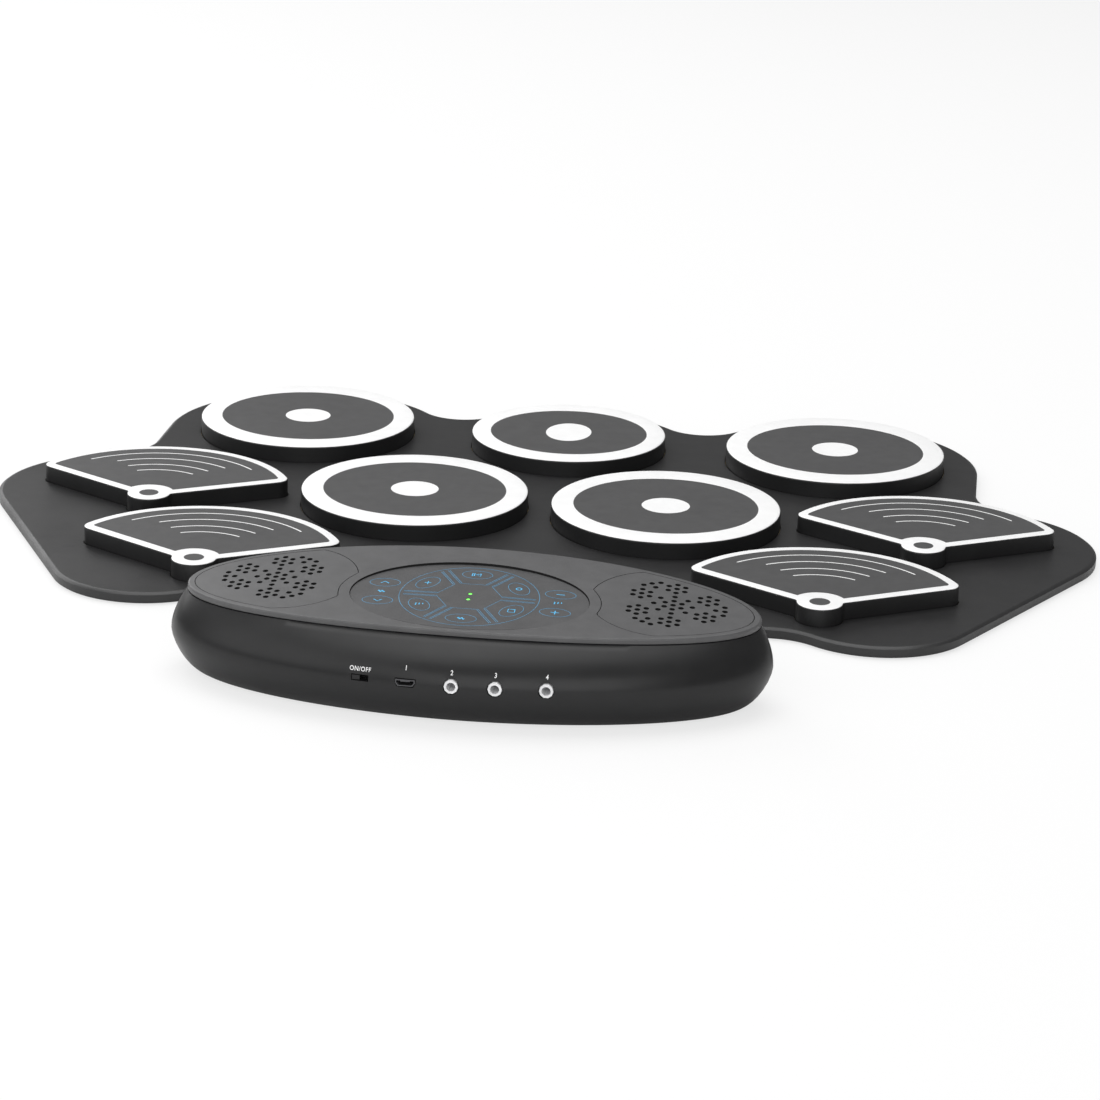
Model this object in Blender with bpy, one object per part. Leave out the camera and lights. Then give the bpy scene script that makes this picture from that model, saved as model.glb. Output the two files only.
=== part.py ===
"""Roll-up electronic drum kit: a flexible silicone mat with nine sprung pads, and its console.

All sizes are in metres. The player sits on the -Y side and the console lies on the +Y side. The kit
lies on the plane z = 0, and the middle of its bounding box is on the Z axis. Plan positions are
worked out in the kit's own datum, whose origin is the centre of the middle drum pad; the empty
kit_datum then moves everything so that the box is centred."""

import math

import bmesh
import bpy

# Clearances between neighbours
GAP = 0.0003
PAD_CLEARANCE = 0.0004
FOAM_CLEARANCE = 0.0005
PANEL_CLEARANCE = 0.00025
NECK_CLEARANCE = 0.0005

# Mat layers, from the table up
BACKING_THICKNESS = 0.0017
FILM_THICKNESS = 0.0002
SHEET_THICKNESS = 0.0025
RIM_WIDTH = 0.005
RIM_ROUND = 0.0014
RIM_EDGE = 0.27

# Pads, which stand in holes through the sheet
PAD_RADIUS = 0.050
MIDDLE_PAD_RADIUS = 0.045
PAD_RISE = 0.0075
PAD_SINK = 0.0008
PAD_WALL = 0.0045
PAD_SKIN = 0.004
PAD_EDGE = 0.0006
FAN_RADIUS = 0.061
FAN_ARC_OFFSET = 0.0067
FAN_HALF_ANGLE = math.radians(59)
FAN_SIDE_OFFSET = 0.0042
FAN_CORNER = 0.006
FAN_BOSS = 0.0095
FAN_FILLET = 0.002

# Gaps between the pads in plan
SIDE_PAD_GAP = 0.0286
SECOND_ROW_GAP = 0.011
DIAGONAL_GAP = 0.018
OUTER_FAN_GAP = 0.0187
OUTER_FAN_SIDE_GAP = 0.0075
INNER_FAN_GAP = 0.0151
INNER_FAN_STEP = 0.039

# Mat outline
MAT_MARGIN = 0.0155
MIDDLE_MARGIN = 0.015
SCALLOP_RADIUS = 0.0195
SIDE_FILLET = 0.025
SIDE_FILLET_BACK = 0.0735
WING_RADIUS = 0.0503
WING_OUT = 0.023
WING_FORWARD = 0.0257
CORNER_RADIUS = 0.0405
CORNER_OUT = 0.0225
CORNER_FORWARD = 0.013
REAR_MARGIN = 0.0145
REAR_FILLET = 0.025
NECK_HALF_WIDTH = 0.040
NECK_FILLET = 0.008
NECK_CORNER = 0.008
NECK_LENGTH = 0.0245
NECK_INSIDE = 0.0245
TAIL_HALF_WIDTH = 0.020
TAIL_INSIDE = 0.032

# Console body, a tub with an elliptical plan that bulges below its rim
TOP_HALF_LENGTH = 0.111
TOP_HALF_DEPTH = 0.0382
TOP_HEIGHT = 0.0381
TOP_TILT = math.radians(5.2)
CROWN_RADIUS = 1.39
BULGE_HALF_LENGTH = 0.1165
BULGE_HALF_DEPTH = 0.049
BULGE_HEIGHT = 0.0165
BULGE_SHIFT = 0.004
BULGE_EXPONENT = 1.9
TUCK_UNDER = 0.0105
TUCK_POWER = 1.5
BODY_LIFT = 0.0008
BODY_FLOOR = 0.0018
BODY_WALL = 0.0022
CHANNEL_FLOOR = 0.0009
CHANNEL_INSIDE = 0.038

# Top cover
COVER_EDGE = 0.0024
COVER_DEPTH = 0.0038
COVER_CHAMFER = 0.0008
PLUG_CLEARANCE = 0.0008

# Speaker grilles and their hole pattern
GRILLE_INSET = 0.003
GRILLE_THICKNESS = 0.0012
GRILLE_LOBE_RADIUS = 0.0283
GRILLE_LOBE_SHIFT = 0.0035
GRILLE_TOUCH_MARGIN = 0.0048
HOLE_PITCH = 0.0037
HOLE_RADIUS = 0.0011
HOLE_SIDES = 6
CLOTH_THICKNESS = 0.0002
CLOTH_INSET = 0.0015

# Speakers
SPEAKER_X = 0.077
SPEAKER_Y = -0.0024
SPEAKER_OPENING = 0.0195
BASKET_RADIUS = 0.0207
BASKET_BOWL = 0.0182
BASKET_DEPTH = 0.0112
BASKET_SHEET = 0.001
BASKET_SEAT = 0.0006
MAGNET_RADIUS = 0.011
MAGNET_DEPTH = 0.006
CONE_THICKNESS = 0.0006

# Touch panel, its board and its two lamps
TOUCH_HALF_LENGTH = 0.0458
TOUCH_HALF_DEPTH = 0.0296
TOUCH_BACK = 0.0063
TOUCH_THICKNESS = 0.0012
TOUCH_RECESS = 0.0009
WINDOW_MARGIN = 0.006
TOUCH_BOARD_OVERLAP = 0.0045
BOARD_THICKNESS = 0.0012
LED_RADIUS = 0.0008
LED_SPACING = 0.0051

# Ports in the rear wall
PORT_HEIGHT = 0.018
PORT_SETBACK = 0.0055
FOOT_JACK_X = -0.0008
HEADPHONE_JACK_X = -0.0171
LINE_JACK_X = -0.036
JACK_WIDTH = 0.007
JACK_HEIGHT = 0.0054
JACK_DEPTH = 0.0115
JACK_NOSE_RADIUS = 0.0027
JACK_BORE_RADIUS = 0.00175
JACK_BORE_DEPTH = 0.011
USB_X = 0.0165
USB_WIDTH = 0.0074
USB_HEIGHT = 0.0026
USB_TAPER = 0.0009
USB_SHELL = 0.0004
USB_DEPTH = 0.0075
USB_MOUTH = 0.005
SWITCH_X = 0.0339
SWITCH_WINDOW = 0.0066
SWITCH_WINDOW_HEIGHT = 0.0024
SWITCH_BODY_WIDTH = 0.0098
SWITCH_BODY_DEPTH = 0.0045
SWITCH_RECESS = 0.0022
KNOB_WIDTH = 0.0029
KNOB_RECESS = 0.0005

# Main board, battery and connectors
BOARD_HALF_LENGTH = 0.043
BOARD_FRONT = 0.004
BOARD_REAR = 0.038
MAIN_BOARD_THICKNESS = 0.0016
POST_RADIUS = 0.002
POST_X = 0.039
POST_FRONT = 0.008
POST_REAR = 0.028
BATTERY_LENGTH = 0.060
BATTERY_DEPTH = 0.026
BATTERY_THICKNESS = 0.005
BATTERY_CENTRE = 0.006
CONNECTOR_HALF_LENGTH = 0.018
CONNECTOR_DEPTH = 0.006
CONNECTOR_HEIGHT = 0.003
RIBBON_HALF_WIDTH = 0.015
RIBBON_THICKNESS = 0.0003
RIBBON_BEND = 0.006

# Clamp bar, screws and feet
CLAMP_HALF_LENGTH = 0.047
CLAMP_DEPTH = 0.006
CLAMP_HEIGHT = 0.003
CLAMP_INSIDE = 0.0155
CLAMP_SCREW_X = 0.0437
CLAMP_SCREW_RADIUS = 0.001
CLAMP_HEAD_RADIUS = 0.002
CLAMP_HEAD_HEIGHT = 0.001
TOWER_X = 0.053
TOWER_FRONT = -0.022
TOWER_REAR = 0.020
TOWER_RADIUS = 0.0035
BOSS_RADIUS = 0.0045
BOSS_HEIGHT = 0.0016
SCREW_RADIUS = 0.0013
SCREW_HEAD_RADIUS = 0.0026
SCREW_HEAD_HEIGHT = 0.0011
SCREW_LENGTH = 0.011
FOOT_X = 0.080
FOOT_SPREAD = 0.015
FOOT_RADIUS = 0.005
FOOT_SINK = 0.0003
FOOT_POCKET = 0.0006

# Facets
ARC_STEP = math.radians(15)
TIGHT_ARC_STEP = math.radians(30)
TIGHT_RADIUS = 0.012
ROUND_SIDES = 30
FOAM_SIDES = 20
BODY_SIDES = 40
BODY_CROWDING = 0.4
SMALL_SIDES = 10
SCREW_SIDES = 8
SPEAKER_SIDES = 16
CROWN_STRIPS = 4
GRILLE_SIDES = 36
SHARE_OF_STRIDE = 0.2
REACH = 0.020

# Heights of the layers
FILM_BOTTOM = BACKING_THICKNESS + GAP
FILM_TOP = FILM_BOTTOM + FILM_THICKNESS
SHEET_BOTTOM = FILM_TOP + GAP
SHEET_TOP = SHEET_BOTTOM + SHEET_THICKNESS
PAD_TOP = SHEET_TOP + PAD_RISE
FLOOR_TOP = BODY_LIFT + BODY_FLOOR


def fan_corner_centre():
    """Centre of a fan pad's right corner arc: inside the straight side, and inside the big arc."""
    along = (math.sin(FAN_HALF_ANGLE), -math.cos(FAN_HALF_ANGLE))
    out = (math.cos(FAN_HALF_ANGLE), math.sin(FAN_HALF_ANGLE))
    side = FAN_SIDE_OFFSET - FAN_CORNER
    start = (out[0] * side, out[1] * side + FAN_ARC_OFFSET)
    half = start[0] * along[0] + start[1] * along[1]
    rest = start[0] ** 2 + start[1] ** 2 - (FAN_RADIUS - FAN_CORNER) ** 2
    run = -half + math.sqrt(half ** 2 - rest)
    return start[0] + along[0] * run, start[1] - FAN_ARC_OFFSET + along[1] * run


# Plan positions in the kit datum
FAN_HALF_WIDTH = fan_corner_centre()[0] + FAN_CORNER
SIDE_PAD_X = MIDDLE_PAD_RADIUS + SIDE_PAD_GAP + PAD_RADIUS
SECOND_ROW_X = PAD_RADIUS + SECOND_ROW_GAP / 2
SECOND_ROW_Y = math.sqrt((MIDDLE_PAD_RADIUS + DIAGONAL_GAP + PAD_RADIUS) ** 2 - SECOND_ROW_X ** 2)
OUTER_FAN_X = SECOND_ROW_X + PAD_RADIUS + OUTER_FAN_SIDE_GAP + FAN_HALF_WIDTH
OUTER_FAN_Y = FAN_ARC_OFFSET + math.sqrt(
    (PAD_RADIUS + FAN_RADIUS + OUTER_FAN_GAP) ** 2 - (OUTER_FAN_X - SIDE_PAD_X) ** 2
)
INNER_FAN_X = OUTER_FAN_X - INNER_FAN_STEP
INNER_FAN_Y = FAN_ARC_OFFSET + SECOND_ROW_Y + math.sqrt(
    (PAD_RADIUS + FAN_RADIUS + INNER_FAN_GAP) ** 2 - (INNER_FAN_X - SECOND_ROW_X) ** 2
)
MAT_REAR = INNER_FAN_Y + REAR_MARGIN
CONSOLE_Y = MAT_REAR + NECK_LENGTH + BULGE_HALF_DEPTH
CONSOLE_FRONT = CONSOLE_Y - BULGE_HALF_DEPTH
TOP_Y = CONSOLE_Y - BULGE_SHIFT
KIT_FRONT = -(PAD_RADIUS + MAT_MARGIN)
KIT_REAR = CONSOLE_Y + BULGE_HALF_DEPTH
ORIGIN_Y = (KIT_FRONT + KIT_REAR) / 2


def finish(name, colour, roughness, metallic=0.0):
    made = bpy.data.materials.new(name)
    made.use_nodes = True
    shader = made.node_tree.nodes["Principled BSDF"]
    shader.inputs["Base Color"].default_value = (*colour, 1)
    shader.inputs["Roughness"].default_value = roughness
    shader.inputs["Metallic"].default_value = metallic
    made.diffuse_color = (*colour, 1)
    return made


def add_object(name, mesh_data, parent, location):
    mesh = bpy.data.meshes.new(name)
    mesh_data.to_mesh(mesh)
    mesh_data.free()
    mesh.shade_smooth()
    mesh.set_sharp_from_angle(angle=math.radians(32))
    made = bpy.data.objects.new(name, mesh)
    bpy.context.scene.collection.objects.link(made)
    made.parent = parent
    made.location = location
    return made


def add_part(name, mesh_data, look, parent, location=(0, 0, 0)):
    made = add_object(name, mesh_data, parent, location)
    made.data.materials.append(look)
    return made


def add_cutter(name, mesh_data, parent, location=(0, 0, 0)):
    made = add_object(name, mesh_data, parent, location)
    made.hide_render = True
    made.display_type = "WIRE"
    return made


def combine(part, cutter, operation):
    modifier = part.modifiers.new(cutter.name, "BOOLEAN")
    modifier.operation = operation
    modifier.solver = "EXACT"
    modifier.object = cutter


def add_empty(name, parent, location, rotation=(0, 0, 0)):
    made = bpy.data.objects.new(name, None)
    bpy.context.scene.collection.objects.link(made)
    made.empty_display_size = 0.02
    made.parent = parent
    made.location = location
    made.rotation_euler = rotation
    return made


def loft(rings):
    """A closed skin through rings that have equally many points, with a flat face on each end."""
    made = bmesh.new()
    loops = [[made.verts.new(point) for point in ring] for ring in rings]
    for lower, upper in zip(loops, loops[1:]):
        for here, (a, b) in enumerate(zip(lower, lower[1:] + lower[:1])):
            made.faces.new((a, b, upper[(here + 1) % len(upper)], upper[here]))
    made.faces.new(loops[0])
    made.faces.new(loops[-1])
    bmesh.ops.recalc_face_normals(made, faces=made.faces)
    return made


def level(outline, height):
    return [(x, y, height) for x, y in outline]


def prism(outline, low, high):
    return loft([level(outline, low), level(outline, high)])


def block(x0, x1, y0, y1, z0, z1):
    return prism([(x0, y0), (x1, y0), (x1, y1), (x0, y1)], z0, z1)


def circle(radius, sides, centre=(0, 0)):
    turns = [2 * math.pi * step / sides for step in range(sides)]
    return [(centre[0] + radius * math.cos(a), centre[1] + radius * math.sin(a)) for a in turns]


def turned(profile, sides):
    """A solid of revolution about Z, from the first ring of the profile to the last."""
    return loft([level(circle(radius, sides), height) for radius, height in profile])


def merged(meshes):
    """Several closed meshes as one, each still a body of its own, for use as one cutter."""
    made = bmesh.new()
    for each in meshes:
        shell = bpy.data.meshes.new("shell")
        each.to_mesh(shell)
        each.free()
        made.from_mesh(shell)
        bpy.data.meshes.remove(shell)
    return made


def superellipse(half_x, half_y, exponent, sides):
    """Long oval whose points crowd towards its two tight ends."""
    points = []
    for step in range(sides):
        turn = 2 * math.pi * step / sides
        turn -= BODY_CROWDING / 2 * math.sin(2 * turn)
        across, along = math.cos(turn), math.sin(turn)
        reach = (abs(across) ** exponent + abs(along) ** exponent) ** (-1 / exponent)
        points.append((half_x * across * reach, half_y * along * reach))
    return points


def belt(circles, inset=0.0):
    """Outline that runs anticlockwise round circles in turn, and straight from one to the next.

    A circle is (x, y, radius), and a negative radius bends the outline the other way."""
    circles = [(x, y, max(s - inset, PAD_EDGE) if s > 0 else s - inset) for x, y, s in circles]
    normals = []
    for (x0, y0, s0), (x1, y1, s1) in zip(circles, circles[1:] + circles[:1]):
        dx, dy = x1 - x0, y1 - y0
        length = math.hypot(dx, dy)
        cosine = max(-1.0, min(1.0, (s1 - s0) / length))
        sine = math.sqrt(1 - cosine ** 2)
        normals.append(math.atan2(cosine * dy + sine * dx, cosine * dx - sine * dy))
    points = []
    for (x, y, s), start, end in zip(circles, normals[-1:] + normals[:-1], normals):
        sign = 1 if s > 0 else -1
        sweep = (sign * (end - start)) % (2 * math.pi)
        if sweep > 2 * math.pi - 1e-4:
            sweep = 0.0
        stride = ARC_STEP if abs(s) > TIGHT_RADIUS else TIGHT_ARC_STEP
        first = math.ceil(sign * start / stride + SHARE_OF_STRIDE)
        last = math.floor((sign * start + sweep) / stride - SHARE_OF_STRIDE)
        turns = [start] + [sign * step * stride for step in range(first, last + 1)] + [start + sign * sweep]
        points += [(x - s * math.cos(turn), y - s * math.sin(turn)) for turn in turns]
    return [p for p, q in zip(points, points[1:] + points[:1]) if math.dist(p, q) > 1e-6]


def mirrored(circles):
    return [(-x, y, s) for x, y, s in reversed(circles)]


def fan_circles():
    """Fan pad about its round boss: two straight sides, two corners and a big arc towards -Y."""
    along = (math.sin(FAN_HALF_ANGLE), -math.cos(FAN_HALF_ANGLE))
    out = (math.cos(FAN_HALF_ANGLE), math.sin(FAN_HALF_ANGLE))
    side = FAN_SIDE_OFFSET + FAN_FILLET
    run = math.sqrt((FAN_BOSS + FAN_FILLET) ** 2 - side ** 2)
    fillet = (out[0] * side + along[0] * run, out[1] * side + along[1] * run, -FAN_FILLET)
    corner = (*fan_corner_centre(), FAN_CORNER)
    right = [corner, fillet]
    return [(0, 0, FAN_BOSS), *mirrored(right), (0, -FAN_ARC_OFFSET, FAN_RADIUS), *right]


def mat_circles(neck=None):
    """Circles that the mat's edge follows: lobes about the front pads, wings, rear corners and neck."""
    middle = MIDDLE_PAD_RADIUS + MIDDLE_MARGIN
    lobe = PAD_RADIUS + MAT_MARGIN
    near, far = middle + SCALLOP_RADIUS, lobe + SCALLOP_RADIUS
    scallop_x = (near ** 2 - far ** 2 + SIDE_PAD_X ** 2) / (2 * SIDE_PAD_X)
    wing_x, wing_y = OUTER_FAN_X + WING_OUT, OUTER_FAN_Y - WING_FORWARD
    corner_x, corner_y = INNER_FAN_X + CORNER_OUT, INNER_FAN_Y - CORNER_FORWARD
    fillet_y = MAT_REAR + REAR_FILLET
    fillet_run = math.sqrt((CORNER_RADIUS + REAR_FILLET) ** 2 - (fillet_y - corner_y) ** 2)
    right = [
        (scallop_x, -math.sqrt(near ** 2 - scallop_x ** 2), -SCALLOP_RADIUS),
        (SIDE_PAD_X, 0, lobe),
        (SIDE_PAD_X + lobe + SIDE_FILLET, wing_y - SIDE_FILLET_BACK, -SIDE_FILLET),
        (wing_x, wing_y, WING_RADIUS),
        (corner_x, corner_y, CORNER_RADIUS),
        (corner_x - fillet_run, fillet_y, -REAR_FILLET),
    ]
    if neck:
        half_width, end = neck
        right.append((half_width + NECK_FILLET, MAT_REAR + NECK_FILLET, -NECK_FILLET))
        right.append((half_width - NECK_CORNER, end - NECK_CORNER, NECK_CORNER))
    return [(0, 0, middle), *right, *mirrored(right)]


def pad_outlines():
    """Each pad's name, its centre in plan, and the function that gives its outline at an inset."""

    def disc(radius):
        return lambda inset, sides=ROUND_SIDES: circle(radius - inset, sides)

    def fan(inset, _=None):
        return belt(fan_circles(), inset)

    pads = [("drum_pad_front_middle", 0, 0, disc(MIDDLE_PAD_RADIUS))]
    for side, word in ((-1, "left"), (1, "right")):
        pads.append((f"drum_pad_front_{word}", side * SIDE_PAD_X, 0, disc(PAD_RADIUS)))
        pads.append((f"drum_pad_rear_{word}", side * SECOND_ROW_X, SECOND_ROW_Y, disc(PAD_RADIUS)))
        pads.append((f"cymbal_pad_outer_{word}", side * OUTER_FAN_X, OUTER_FAN_Y, fan))
        pads.append((f"cymbal_pad_inner_{word}", side * INNER_FAN_X, INNER_FAN_Y, fan))
    return pads


def moved(mesh_data, x, y):
    bmesh.ops.translate(mesh_data, vec=(x, y, 0), verts=mesh_data.verts)
    return mesh_data


def build_mat(datum, silicone, backing_look, film_look):
    """Three layers: a silicone sheet with a rolled rim and a neck, the sensor film, and the backing."""
    neck_end = CONSOLE_FRONT + NECK_INSIDE
    circles = mat_circles((NECK_HALF_WIDTH, neck_end))
    rings = []
    for inset, rise in ((RIM_ROUND, 0), (0, RIM_EDGE), (0, 1 - RIM_EDGE), (RIM_ROUND, 1)):
        rings.append(level(belt(circles, inset), SHEET_TOP * rise))
    sheet = add_part("mat_sheet", loft(rings), silicone, datum)

    tray = add_cutter("mat_tray", prism(belt(mat_circles(), RIM_WIDTH), -REACH, SHEET_BOTTOM), datum)
    combine(sheet, tray, "DIFFERENCE")
    half = NECK_HALF_WIDTH + NECK_CLEARANCE
    under = block(-half, half, MAT_REAR - 2 * RIM_WIDTH, neck_end + REACH, -REACH, SHEET_BOTTOM)
    combine(sheet, add_cutter("neck_underside", under, datum), "DIFFERENCE")
    holes = []
    for _, x, y, outline in pad_outlines():
        holes.append(moved(prism(outline(-PAD_CLEARANCE), 0, PAD_TOP), x, y))
    combine(sheet, add_cutter("pad_holes", merged(holes), datum), "DIFFERENCE")

    film_inset = RIM_WIDTH + NECK_CLEARANCE
    tail = (TAIL_HALF_WIDTH + film_inset, CONSOLE_FRONT + TAIL_INSIDE + film_inset)
    film = prism(belt(mat_circles(tail), film_inset), FILM_BOTTOM, FILM_TOP)
    add_part("sensor_film", film, film_look, datum)
    backing = prism(belt(mat_circles(), RIM_WIDTH + GAP), 0, BACKING_THICKNESS)
    add_part("mat_backing", backing, backing_look, datum)


def build_pads(datum, pad_look, foam_look):
    """Nine hollow silicone pads, each over a foam spring that stands on the sensor film."""
    bottom = -PAD_SINK
    ceiling = PAD_RISE - PAD_SKIN
    for name, x, y, outline in pad_outlines():
        rings = [
            level(outline(PAD_WALL), ceiling),
            level(outline(PAD_WALL), bottom),
            level(outline(0), bottom),
            level(outline(0), PAD_RISE - PAD_EDGE),
            level(outline(PAD_EDGE), PAD_RISE),
        ]
        add_part(name, loft(rings), pad_look, datum, (x, y, SHEET_TOP))
        foam_top = SHEET_TOP + ceiling - GAP
        foam = prism(outline(PAD_WALL + FOAM_CLEARANCE, FOAM_SIDES), 0, foam_top - SHEET_BOTTOM)
        foam_name = "foam_spring_" + name.replace("_pad", "")
        add_part(foam_name, foam, foam_look, datum, (x, y, SHEET_BOTTOM))


def crown(x):
    """Drop of the console's arched top at a distance from its middle, straight between the strips."""
    strip = TOP_HALF_LENGTH / CROWN_STRIPS
    low = math.floor(abs(x) / strip)
    share = abs(x) / strip - low
    drops = [(step * strip) ** 2 / (2 * CROWN_RADIUS) for step in (low, low + 1)]
    return -(drops[0] * (1 - share) + drops[1] * share)


def crowned(mesh_data):
    """Bends a flat solid down towards both ends, after splitting its faces into flat strips."""
    strip = TOP_HALF_LENGTH / CROWN_STRIPS
    for step in range(-CROWN_STRIPS, CROWN_STRIPS + 1):
        everything = mesh_data.verts[:] + mesh_data.edges[:] + mesh_data.faces[:]
        bmesh.ops.bisect_plane(
            mesh_data, geom=everything, dist=1e-6, plane_co=(step * strip, 0, 0), plane_no=(1, 0, 0)
        )
    for vert in mesh_data.verts:
        vert.co.z += crown(vert.co.x)
    return mesh_data


def top_height(x, y):
    """Height of the cover's top face over a point of the plan."""
    return TOP_HEIGHT - (y - TOP_Y) * math.tan(TOP_TILT) + crown(x)


def body_ring(rise, inset=0.0):
    """Ring of the console's wall: rise is -1 at its base, 0 at the bulge and 1 at the rim."""
    if rise > 0:
        share = rise ** 2
        half_x = BULGE_HALF_LENGTH + (TOP_HALF_LENGTH - BULGE_HALF_LENGTH) * share
        half_y = BULGE_HALF_DEPTH + (TOP_HALF_DEPTH - BULGE_HALF_DEPTH) * share
        centre = CONSOLE_Y - BULGE_SHIFT * share
        exponent = BULGE_EXPONENT + (2 - BULGE_EXPONENT) * share
    else:
        tuck = TUCK_UNDER * (1 - (1 - (-rise) ** TUCK_POWER) ** (1 / TUCK_POWER))
        half_x = BULGE_HALF_LENGTH - tuck
        half_y = BULGE_HALF_DEPTH - tuck
        centre = CONSOLE_Y
        exponent = BULGE_EXPONENT
    points = []
    for x, y in superellipse(half_x - inset, half_y - inset, exponent, BODY_SIDES):
        rim = top_height(x, y + centre) - COVER_EDGE - GAP
        end = rim if rise > 0 else BODY_LIFT
        points.append((x, y + centre, BULGE_HEIGHT + (end - BULGE_HEIGHT) * abs(rise)))
    return points


def wall_y(x):
    """Where the outside of the console's rear wall is, at its bulge."""
    share = 1 - abs(x / BULGE_HALF_LENGTH) ** BULGE_EXPONENT
    return CONSOLE_Y + BULGE_HALF_DEPTH * share ** (1 / BULGE_EXPONENT)


def tower_places():
    return [(side * TOWER_X, CONSOLE_Y + y) for side in (-1, 1) for y in (TOWER_FRONT, TOWER_REAR)]


def foot_places():
    return [(side * FOOT_X, CONSOLE_Y + y) for side in (-1, 1) for y in (-FOOT_SPREAD, FOOT_SPREAD)]


def usb_outline(grow):
    """Micro USB outline in X and Z: wide above, with its two lower corners cut away."""
    half, height = USB_WIDTH / 2 + grow, USB_HEIGHT / 2 + grow
    return [
        (-half, height), (-half, 0), (-half + USB_TAPER, -height),
        (half - USB_TAPER, -height), (half, 0), (half, height),
    ]


def along_y(outline, y0, y1):
    """A prism whose outline is in X and Z and whose length is along Y."""
    return loft([[(x, y, z) for x, z in outline] for y in (y0, y1)])


def build_body(datum, look):
    """The tub: a bulging elliptical wall, a floor, posts, screw bosses, ports and the mat's slot."""
    floor_rise = -(BULGE_HEIGHT - FLOOR_TOP) / (BULGE_HEIGHT - BODY_LIFT)
    outside = [body_ring(rise) for rise in (-1, -0.9, -0.5, 0, 0.5, 1)]
    inside = [body_ring(rise, BODY_WALL) for rise in (1, 0.5, 0, -0.6, floor_rise)]
    body = add_part("console_body", loft(outside + inside), look, datum)

    supports = []
    for side in (-1, 1):
        for y in (POST_FRONT, POST_REAR):
            post = prism(circle(POST_RADIUS, SCREW_SIDES), FLOOR_TOP - BODY_FLOOR / 2, board_bottom() - GAP)
            supports.append(moved(post, side * POST_X, CONSOLE_Y + y))
    for x, y in tower_places():
        boss = prism(circle(BOSS_RADIUS, SMALL_SIDES), FLOOR_TOP - BODY_FLOOR / 2, FLOOR_TOP + BOSS_HEIGHT)
        supports.append(moved(boss, x, y))
    combine(body, add_cutter("body_supports", merged(supports), datum), "UNION")

    half = NECK_HALF_WIDTH + NECK_CLEARANCE
    channel_low = BODY_LIFT + CHANNEL_FLOOR
    slot = block(
        -half, half, CONSOLE_FRONT - REACH, CONSOLE_FRONT + CHANNEL_INSIDE, channel_low, SHEET_TOP + GAP
    )
    combine(body, add_cutter("neck_slot", slot, datum), "DIFFERENCE")

    ports = []
    for x in (FOOT_JACK_X, HEADPHONE_JACK_X, LINE_JACK_X):
        hole = [(x + u, PORT_HEIGHT + w) for u, w in circle(JACK_NOSE_RADIUS + GAP, SMALL_SIDES)]
        ports.append(along_y(hole, wall_y(x) - REACH / 2, wall_y(x) + REACH))
    usb = [(USB_X + u, PORT_HEIGHT + w) for u, w in usb_outline(GAP)]
    ports.append(along_y(usb, wall_y(USB_X) - REACH / 2, wall_y(USB_X) + REACH))
    window = block(
        SWITCH_X - SWITCH_WINDOW / 2, SWITCH_X + SWITCH_WINDOW / 2,
        wall_y(SWITCH_X) - REACH / 2, wall_y(SWITCH_X) + REACH,
        PORT_HEIGHT - SWITCH_WINDOW_HEIGHT / 2, PORT_HEIGHT + SWITCH_WINDOW_HEIGHT / 2,
    )
    ports.append(window)
    combine(body, add_cutter("rear_ports", merged(ports), datum), "DIFFERENCE")

    drillings = []
    for x, y in tower_places():
        profile = [
            (SCREW_HEAD_RADIUS + GAP, -REACH),
            (SCREW_HEAD_RADIUS + GAP, BODY_LIFT + SCREW_HEAD_HEIGHT + 2 * GAP),
            (SCREW_RADIUS + GAP, BODY_LIFT + SCREW_HEAD_HEIGHT + 2 * GAP),
            (SCREW_RADIUS + GAP, REACH),
        ]
        drillings.append(moved(turned(profile, SCREW_SIDES), x, y))
    for x, y in foot_places():
        pocket = prism(circle(FOOT_RADIUS + GAP, SMALL_SIDES), -REACH, BODY_LIFT + FOOT_POCKET)
        drillings.append(moved(pocket, x, y))
    for side in (-1, 1):
        pilot = prism(circle(CLAMP_SCREW_RADIUS + GAP, SCREW_SIDES), BODY_LIFT + BODY_FLOOR / 3, REACH)
        drillings.append(moved(pilot, side * CLAMP_SCREW_X, clamp_y()))
    combine(body, add_cutter("floor_drillings", merged(drillings), datum), "DIFFERENCE")


def board_top():
    return PORT_HEIGHT - JACK_HEIGHT / 2 - GAP


def board_bottom():
    return board_top() - MAIN_BOARD_THICKNESS


def clamp_y():
    return CONSOLE_FRONT + CLAMP_INSIDE + CLAMP_DEPTH / 2


def ray_to_ellipse(start, turn, centre, half_x, half_y):
    """Distance along a ray to an ellipse, or infinity where the ray misses it."""
    px, py = (start[0] - centre[0]) / half_x, (start[1] - centre[1]) / half_y
    dx, dy = math.cos(turn) / half_x, math.sin(turn) / half_y
    a, b, c = dx * dx + dy * dy, px * dx + py * dy, px * px + py * py - 1
    if b * b < a * c:
        return math.inf
    root = math.sqrt(b * b - a * c)
    hits = [hit for hit in ((-b - root) / a, (-b + root) / a) if hit > 0]
    return min(hits, default=math.inf)


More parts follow.
